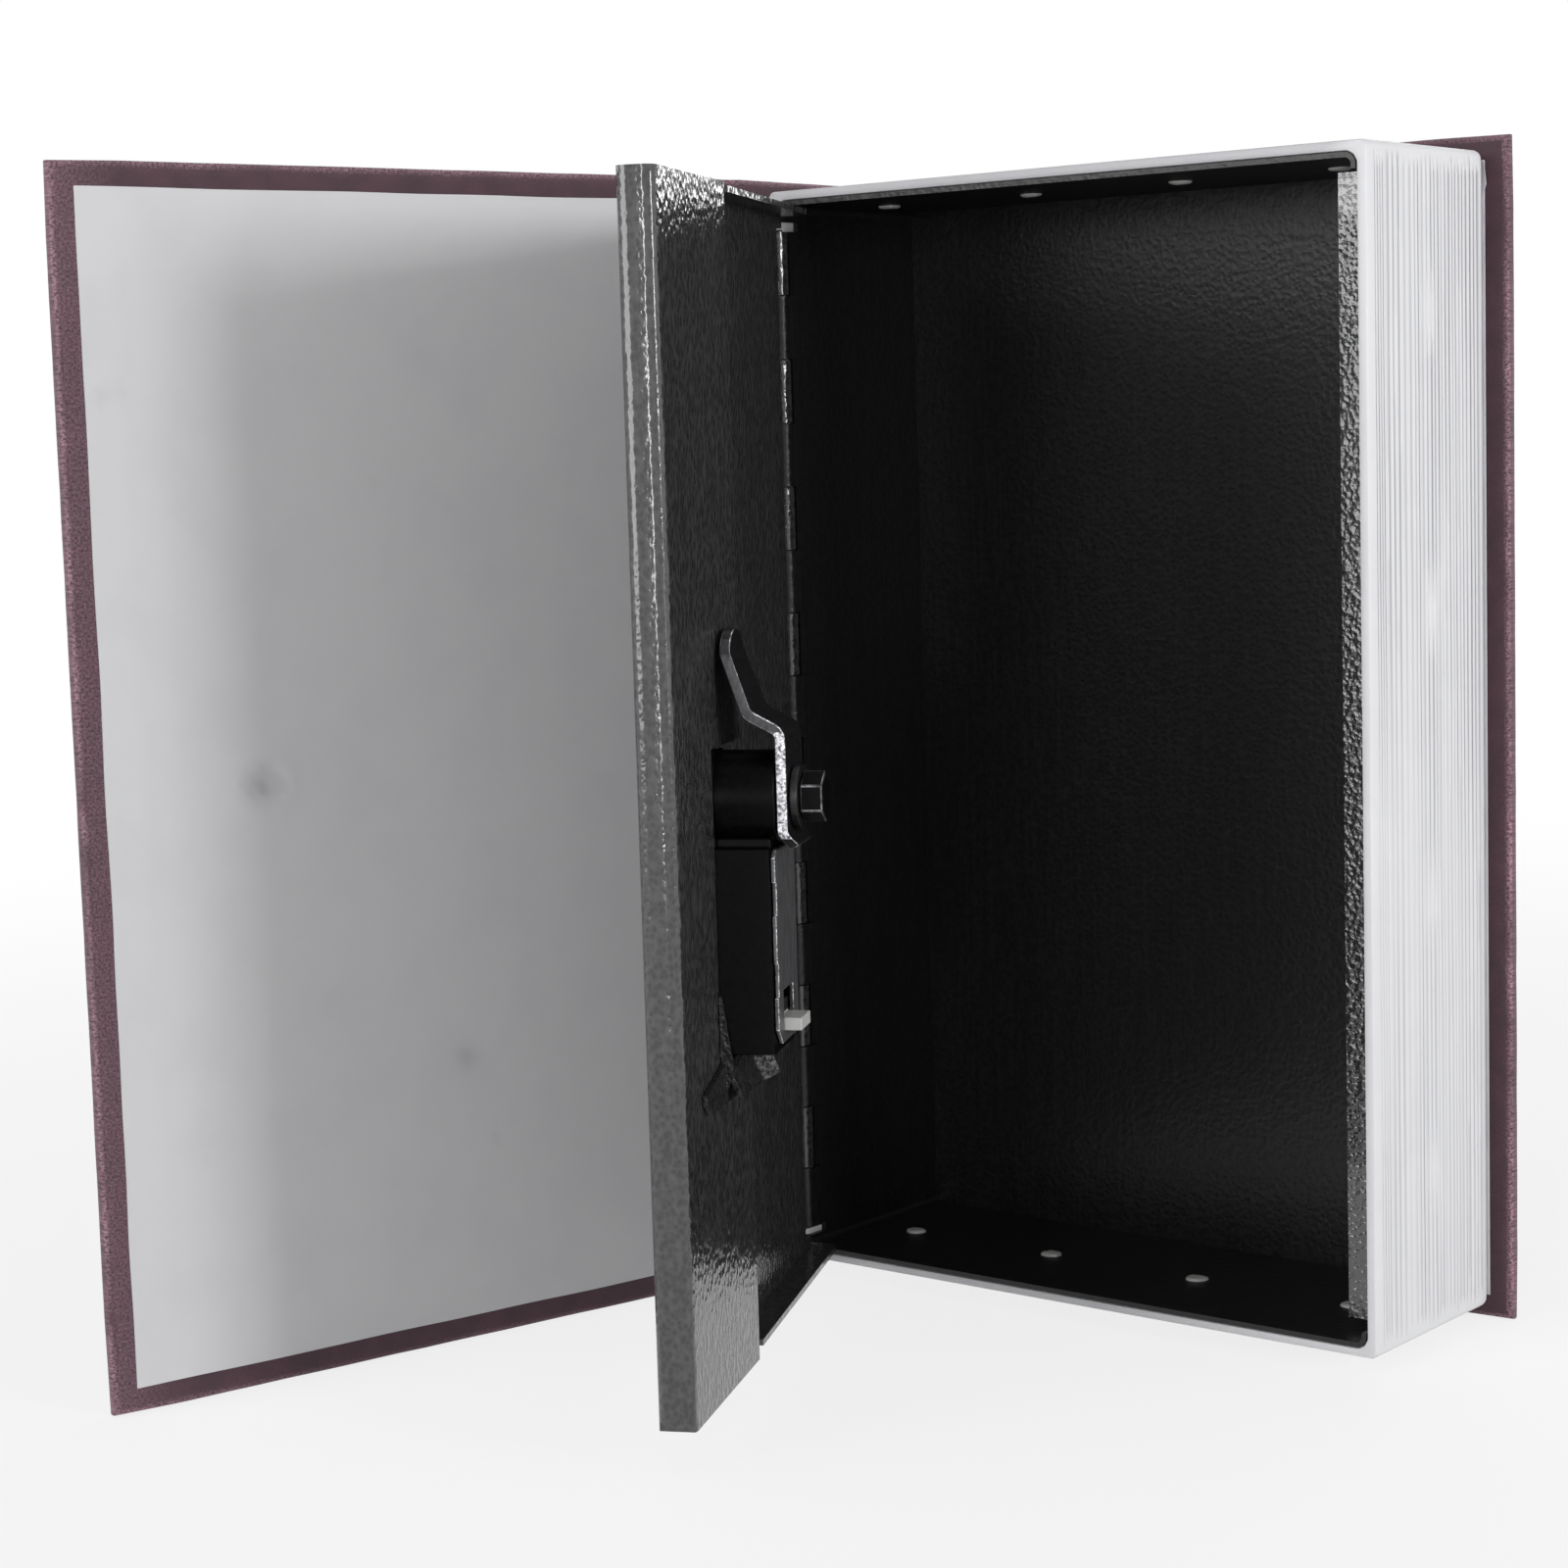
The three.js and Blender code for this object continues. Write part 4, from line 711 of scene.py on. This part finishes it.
def makePageBlock(spec=shellSize):
    rng = random.Random(41)
    lines = []  # each page line: place from the rim, pitch, groove depth, how far from a corner it starts
    back = spec["backRound"]
    y = spec["lineStart"]
    while y < spec["depth"] - back - 0.8:
        pitches, strengths = next((pitches, strengths) for end, pitches, strengths in lineBands if y < end)
        pitch = rng.uniform(*pitches)
        strong = rng.uniform(*strengths)
        lines.append((y, pitch, spec["lineDepth"] * strong, rng.uniform(*spec["cornerGap"])))
        y += pitch
    samples = shellPath()
    wall = spec["wall"]
    # the section from the floor inside, up and over the rim: inset from the outer face, depth
    rimIn = [(wall, spec["depth"] - spec["back"]), (wall, 0.35), (wall - 0.12, 0.1), (wall - 0.4, 0),
             (0.6, 0), (0.22, 0.12), (0.04, 0.5)]
    vertices, faces, rings, lineAndRimShades = [], [], [], []
    for outer, inner, ribs, away in samples:
        ring = []
        atHinge = ribs == 0 and spec["hingeLow"] <= outer[1] <= spec["hingeHigh"] and outer[0] < 1
        rim = spec["hingeRim"] if atHinge else 0.0
        toInner = (inner - outer) / wall
        across, up = outer

        def add(inset, depth, shade=0.0):
            place = outer + toInner * inset
            ring.append(len(vertices))
            vertices.append(metres((place[0], max(depth, rim), place[1])))
            lineAndRimShades.append(min(max(shade, 0.0), 1.0))

        onHead = up > spec["top"] - 0.5  # painted shade along the rim at the head
        headRimShade = spec["headRimShade"] * (1 - ease(across, 136, 143)) if onHead else 0.0
        for inset, depth in rimIn:
            add(inset, depth, headRimShade)
        onFore = across > spec["right"] - 0.5
        fade = 0.5 + 0.5 * ease(up, 90, 200) if onFore else 0.85
        for start, pitch, deep, cornerGap in lines:
            for share, cut in lineProfile:
                at = start + share * pitch
                amount = deep * cut * ribs * fade * ease(away, cornerGap, cornerGap + 1.4)
                amount *= 0.65 + 0.5 * ripple(across * 0.6, start * 6, up * 0.6, 38)
                for rise in spec["sinkRise"] if onFore else ():
                    spot = math.exp(-((at - spec["sinkDepth"]) / 2.4) ** 2 - ((up - rise) / 6.5) ** 2)
                    amount = amount * (1 - 0.7 * spot) - 0.1 * spot
                wander = 0.1 * ripple(across, start * 4, up, 30)
                # each line's depth also sets its painted shade
                add(max(amount, -0.12) + spec["skin"], at + wander, amount * spec["lineShade"])
        for k in range(7):
            a = math.radians(15 * k)
            inset = back * (1 - math.cos(a)) * (1 if ribs else 0.25)
            add(inset + spec["skin"], spec["depth"] - back + back * math.sin(a))
        rings.append(ring)
    for a, b in zip(rings, rings[1:] + rings[:1]):
        for k in range(len(a) - 1):
            faces.append((a[k + 1], a[k], b[k], b[k + 1]))
    faces.append([ring[0] for ring in rings])
    faces.append([ring[-1] for ring in reversed(rings)])
    piece = addPiece("pageBlock", vertices, faces, [pagePlastic], 38)
    addAttribute(piece.data, "lineAndRimShade", lineAndRimShades)
    finishPiece(piece, "box_and_case", "page_plastic", "page_shell")


makePageBlock()


# The moulded stakes that hold the steel box: each comes through a hole and is melted over into a
# low, uneven button.
stakeSize = {
    "radius": 2.45, "rise": 0.62, "uneven": 0.28, "rootSunk": 0.8, "depth": 22.5, "rings": 5, "sides": 18,
    "foot": 6.5, "head": 233.5, "fore": 140.8,  # the box's inner faces that they stand on
    "across": (15.8, 126.2), "up": (35.6, 204.7),  # the first and last of each row of four
}


def stakeRow(first, last):
    return [first + i * (last - first) / 3 for i in range(4)]


def makeStakes(spec=stakeSize):
    rng = random.Random(7)
    vertices, faces = [], []
    places = [(x, spec["foot"], (0, 0, 1)) for x in stakeRow(*spec["across"])]
    places += [(x, spec["head"], (0, 0, -1)) for x in stakeRow(*spec["across"])]
    places += [(spec["fore"], z, (-1, 0, 0)) for z in stakeRow(*spec["up"])]
    for x, z, inward in places:
        centre = Vector((x, spec["depth"], z))
        inward = Vector(inward)
        across = Vector((0, 1, 0))
        side = inward.cross(across)
        seed = rng.uniform(0, 50)
        squash = rng.uniform(0.8, 1.0)
        first = len(vertices)
        for ring in range(spec["rings"] + 1):
            share = ring / spec["rings"]
            for k in range(spec["sides"]):
                a = 2 * math.pi * k / spec["sides"]
                uneven = 1 + spec["uneven"] * ripple(math.cos(a) * 3, math.sin(a) * 3, seed, 2.4)
                r = spec["radius"] * uneven * math.sin(share * math.pi / 2)
                rise = spec["rise"] * math.cos(share * math.pi / 2) ** 0.7
                rise += 0.12 * ripple(seed, r * math.cos(a), r * math.sin(a), 1.3)
                if ring == spec["rings"]:  # the foot of the button, inside the wall
                    rise = -spec["rootSunk"]
                place = centre + side * (r * math.cos(a)) + across * (r * squash * math.sin(a))
                vertices.append(metres(place + inward * rise))
        for ring in range(spec["rings"]):
            for k in range(spec["sides"]):
                a = first + ring * spec["sides"] + k
                b = first + ring * spec["sides"] + (k + 1) % spec["sides"]
                faces.append((a, b, b + spec["sides"], a + spec["sides"]))
        faces.append([first + spec["rings"] * spec["sides"] + k for k in range(spec["sides"])])
    # the stakes are the shell's own white plastic, drawn in the greyer tab plastic as painted shade inside
    # the box
    piece = addPiece("meltedStakes", vertices, faces, [tabAndShadedStakePlastic], 60)
    work = bmesh.new()
    work.from_mesh(piece.data)
    bmesh.ops.remove_doubles(work, verts=work.verts, dist=1e-6)
    bmesh.ops.recalc_face_normals(work, faces=work.faces)
    work.to_mesh(piece.data)
    work.free()
    finishPiece(piece, "box_and_case", "page_plastic")


makeStakes()


# The lining between the page block and the back cover: its cut edge stands out a little past the
# block, wavy and turned up in places.
liningSize = {
    "start": 138.0, "edge": 142.3, "bottom": 5.5, "top": 234.5, "depth": 49.26, "thickness": 0.08,
    "rows": 160, "wave": 1.6, "curl": 0.5, "headReach": 1.6, "headCurl": 1.4,
}


def makeLiningEdge(spec=liningSize):
    vertices, faces = [], []
    rows = spec["rows"]
    for side in (0, 1):
        for j in range(rows + 1):
            z = spec["bottom"] + (spec["top"] - spec["bottom"]) * j / rows
            reach = spec["edge"] + spec["wave"] * max(0.0, ripple(z, 3, 8, 19)) + 0.3 * ripple(z, 1, 4, 3.5)
            reach += spec["headReach"] * ease(z, 227, 231)
            curl = max(0.0, spec["curl"] * ripple(z, 9, 2, 16) + 0.25) + spec["headCurl"] * ease(z, 228, 233)
            for share in (0.0, 0.6, 0.85, 1.0):
                x = spec["start"] + (reach - spec["start"]) * share
                lift = curl * ease(share, 0.84, 1.05)
                vertices.append(metres((x, spec["depth"] - lift + spec["thickness"] * side, z)))
    span = 4 * (rows + 1)
    for j in range(rows):
        for k in range(3):
            a = 4 * j + k
            faces.append((a, a + 1, a + 5, a + 4))
            faces.append((span + a + 4, span + a + 5, span + a + 1, span + a))
        faces.append((4 * j + 3, span + 4 * j + 3, span + 4 * j + 7, 4 * j + 7))
    piece = addPiece("liningEdge", vertices, faces, [endpaper], 60)
    finishPiece(piece, "box_and_case", "endpaper")


makeLiningEdge()
print("page block and stakes moulded")


# Pieces that keep their CAD shape: node, piece, finish, slot, width of the eased edge in metres, and
# the finish where that edge is rubbed.
easedPieces = [
    ("steel_box", "steelBox", boxShadedHammertone, "hammertone", 0.00022, None),
    ("door_pan", "doorPan", hammertone, "hammertone", 0.00028, None),
    ("retaining_clip", "lockClip", clipHammertone, "hammertone", 0.00018, wornEdge),
    ("lock_housing", "lockCase", blackEnamel, "black_enamel", 0.0004, None),
    ("lock_back_plate", "lockBackPlate", zincPlate, "plate_steel", 0.00016, brightSteel),
    ("lock_bezel", "lockFacePlate", satinNickel, "lock_chrome", 0.0003, None),
    ("lock_knob", "lockKnob", satinNickel, "lock_chrome", 0.0004, None),
    ("cam", "lockCam", blackenedSteel, "dark_steel", 0.00022, brightSteel),
    ("cam_washer", "camWasher", blackenedSteel, "dark_steel", 0.00015, None),
    ("cam_bolt", "camBolt", blackEnamel, "dark_steel", 0.0003, wornEdge),
    ("reset_tab", "resetTab", tabAndShadedStakePlastic, "tab_plastic", 0.0002, None),
]
eased = {}
for node, name, material, slot, width, rim in easedPieces:
    eased[name] = easedNode(node, name, material, slot, width, rim=rim)
for i in (1, 2, 3):
    easedNode(f"dial_wheel_{i}", f"dialWheel{i}", satinNickel, "wheel_metal", 0.0002, degrees=15)
dressNode("hinge_pin", blackenedSteel)
for node in ("lock_spindle", "dial_axle", "detent_spring"):
    dressNode(node, springSteel)

# Some pieces have a second finish, on the faces that look squarely one way: the least cosine for each.
squarely = {"ledge": 0.7, "door": 0.97, "cam": 0.75}

# The ledge at the box's mouth looks out of the box and lies between these two depths, in metres.
ledgeDepth = {"back": -0.0412, "front": -0.0448}
boxMesh = eased["steelBox"].data
boxMesh.materials.append(ledgeHammertone)
for polygon in boxMesh.polygons:
    looksOut = -polygon.normal.y > squarely["ledge"]
    if looksOut and ledgeDepth["front"] < polygon.center.y < ledgeDepth["back"]:
        polygon.material_index = 1

# The door's two large faces.
doorMesh = eased["doorPan"].data
doorMesh.materials.append(skinHammertone)
doorInward = Vector((math.sin(doorSwing["opening"]), math.cos(doorSwing["opening"]), 0))
for polygon in doorMesh.polygons:
    if abs(polygon.normal.dot(doorInward)) > squarely["door"]:
        polygon.material_index = 1

# The cam is blanked from blackened strip: its cut edges are grey, and filed bright along its straight
# part and its first bend, below this height in metres.
filedTop = 0.1345
camMesh = eased["lockCam"].data
camMesh.materials.append(cutSteel)
doorAcross = Vector((math.cos(-doorSwing["opening"]), math.sin(-doorSwing["opening"]), 0))
for polygon in camMesh.polygons:
    if abs(polygon.normal.dot(doorAcross)) > squarely["cam"]:
        polygon.material_index = 2 if polygon.center.z > filedTop else 1

# The tab's head slides inside the case and is coloured black as painted shade; only the part that
# a finger moves, below this height in metres, is white.
tabShadeFrom = 0.0777
tabMesh = eased["resetTab"].data
tabMesh.materials.append(blackForFiguresAndShade)
shaped = bmesh.new()
shaped.from_mesh(tabMesh)
everything = shaped.verts[:] + shaped.edges[:] + shaped.faces[:]
bmesh.ops.bisect_plane(shaped, geom=everything, plane_co=(0, 0, tabShadeFrom), plane_no=(0, 0, 1), dist=1e-6)
for face in shaped.faces:
    if face.calc_center_median().z > tabShadeFrom:
        face.material_index = 1
shaped.to_mesh(tabMesh)
shaped.free()


# The numbers on the wheels: stamped into the flats and filled with black enamel, 0 to 9 in turn.
digitSize = {
    "size": 4.7, "proud": 0.02, "flat": 7.05, "reach": 101.0, "depth": 6.2, "rise": (99.5, 89.5, 79.5),
}


def makeWheelNumbers(spec=digitSize):
    for wheel, rise in enumerate(spec["rise"], 1):
        vertices, faces = [], []
        for number in range(10):
            figure = bpy.data.curves.new("figure", "FONT")
            figure.body = str(number)
            figure.size = spec["size"]
            figure.extrude = spec["proud"]
            figure.align_x = "CENTER"
            figure.align_y = "CENTER"
            holder = addObject("figure", figure)
            graph = bpy.context.evaluated_depsgraph_get()
            shape = bpy.data.meshes.new_from_object(holder.evaluated_get(graph))
            turn = math.radians(36 * number - 90)
            outward = Vector((math.cos(turn), math.sin(turn)))
            sideways = Vector((-math.sin(turn), math.cos(turn)))
            first = len(vertices)
            for vertex in shape.vertices:
                place = outward * (spec["flat"] + vertex.co.z) + sideways * vertex.co.x
                drawn = swungDoor(spec["reach"] + place.x, spec["depth"] + place.y, rise + vertex.co.y)
                vertices.append(metres(drawn))
            faces += [[first + v for v in polygon.vertices] for polygon in shape.polygons]
            bpy.data.objects.remove(holder)
            bpy.data.curves.remove(figure)
            bpy.data.meshes.remove(shape)
        piece = addPiece(f"wheelNumbers{wheel}", vertices, faces, [blackForFiguresAndShade], 30)
        finishPiece(piece, f"wheel_{wheel}", "wheel_metal")


makeWheelNumbers()
print("lock and door finished")


# Camera at the photograph's angle, a long lens a little below the book's head.
view = {
    "place": (438.3, -532.8, 185.9), "yaw": 39.46, "pitch": -6.35, "roll": -1.69,
    "lens": 72.9, "sensor": 36, "nearest": 0.01, "farthest": 50,
}


def addCamera(spec=view):
    yaw, pitch, roll = (math.radians(spec[key]) for key in ("yaw", "pitch", "roll"))
    forward = Vector((-math.sin(yaw) * math.cos(pitch), math.cos(yaw) * math.cos(pitch), math.sin(pitch)))
    right = Vector((math.cos(yaw), math.sin(yaw), 0))
    up = right.cross(forward)
    turnedRight = right * math.cos(roll) + up * math.sin(roll)
    turnedUp = up * math.cos(roll) - right * math.sin(roll)
    data = bpy.data.cameras.new("photoView")
    data.lens = spec["lens"]
    data.sensor_width = spec["sensor"]
    data.clip_start = spec["nearest"]
    data.clip_end = spec["farthest"]
    camera = addObject("photoView", data)
    axes = Matrix((turnedRight, turnedUp, -forward)).transposed()
    camera.matrix_world = Matrix.Translation(metres(spec["place"])) @ axes.to_4x4()
    bpy.context.scene.camera = camera


addCamera()

# Pale floor and a soft studio: a box on the fore-edge side that throws the door's shadow on the
# endpaper, a wide one in front and to the left, two narrow upright lights that draw the door's bends,
# one behind the book that shines down on the door's inner face, and a wide one overhead.
softBoxes = [  # name, place, aim, size, power
    ("strip", (1.25, -0.045, 0.35), (0.0, -0.15, 0.15), (0.28, 0.28), 5.6),
    ("front", (-0.52, -1.3, 0.4), (0.0, -0.1, 0.12), (0.9, 0.75), 8.5),
    ("edge", (0.58, -1.35, 0.2), (0.0, -0.15, 0.12), (0.12, 0.7), 4.2),
    ("side", (1.2, 0.4, 0.3), (0.0, -0.15, 0.12), (0.1, 0.7), 1.6),
    ("rear", (-0.33, 1.3, 0.53), (0.0, -0.1, 0.22), (0.6, 0.3), 3.8),
    ("overhead", (0.1, 0.1, 1.6), (0.0, -0.05, 0.1), (1.4, 1.4), 1.6),
]
studio = {
    "fill": 0.28, "seen": 1.0,  # the surroundings' strength, on the object and as the camera sees them
    "floorReach": 6, "floorGrey": 0.82, "floorRoughness": 0.9,
    "nearGlow": 0.8, "farGlow": 1.0, "fadeFrom": 0.25, "fadeTo": 0.9,  # metres from the book
}


def seenShare(tree):  # 1 where the camera sees the surroundings, directly or in a reflection
    path = addNode(tree, "LightPath", {})
    seen = addNode(tree, "Math", {0: path.outputs["Is Camera Ray"],
                                  1: path.outputs["Is Glossy Ray"]}, operation="MAXIMUM")
    plain = addNode(tree, "Math", {0: seen, 1: path.outputs["Is Transmission Ray"]}, operation="MAXIMUM")
    return plain.outputs[0]


def addLights():
    for name, place, aim, size, power in softBoxes:
        data = bpy.data.lights.new(name, "AREA")
        data.shape = "RECTANGLE"
        data.size, data.size_y = size
        data.energy = power
        lamp = addObject(name, data)
        lamp.location = place
        lamp.visible_camera = False
        lamp.rotation_euler = (Vector(aim) - Vector(place)).to_track_quat("-Z", "Y").to_euler()


def addWorld(spec=studio):
    world = bpy.data.worlds.new("paleStudio")
    bpy.context.scene.world = world
    world.use_nodes = True
    tree = world.node_tree
    level = addNode(tree, "MapRange", {"Value": seenShare(tree), "To Min": spec["fill"],
                                       "To Max": spec["seen"]})
    connect(tree.nodes["Background"], {"Color": (1, 1, 1, 1), "Strength": level})


def addFloor(spec=studio):
    reach = spec["floorReach"]
    corners = [(-reach, -reach, 0), (reach, -reach, 0), (reach, reach, 0), (-reach, reach, 0)]
    floor = addPiece("floor", corners, [(0, 1, 2, 3)], [])
    material = bpy.data.materials.new("paleSweep")
    material.use_nodes = True
    tree = material.node_tree
    shader = tree.nodes["Principled BSDF"]
    connect(shader, {"Base Color": [spec["floorGrey"]] * 3 + [1], "Roughness": spec["floorRoughness"]})
    glow = addNode(tree, "Emission", {"Color": (1, 1, 1, 1), "Strength": 1})
    place = addNode(tree, "NewGeometry", {})
    away = addNode(tree, "VectorMath", {"Vector": place.outputs["Position"]}, operation="LENGTH")
    fade = addNode(tree, "MapRange", {"Value": away.outputs["Value"], "From Min": spec["fadeFrom"],
                                      "From Max": spec["fadeTo"], "To Min": spec["nearGlow"],
                                      "To Max": spec["farGlow"]}, interpolation_type="SMOOTHSTEP")
    share = addNode(tree, "Math", {0: seenShare(tree), 1: fade}, operation="MULTIPLY")
    mix = addNode(tree, "MixShader", {0: share, 1: shader, 2: glow})
    connect(tree.nodes["Material Output"], {"Surface": mix})
    floor.data.materials.append(material)


addLights()
addWorld()
addFloor()
bpy.context.scene.view_settings.view_transform = "Standard"
print("studio set")
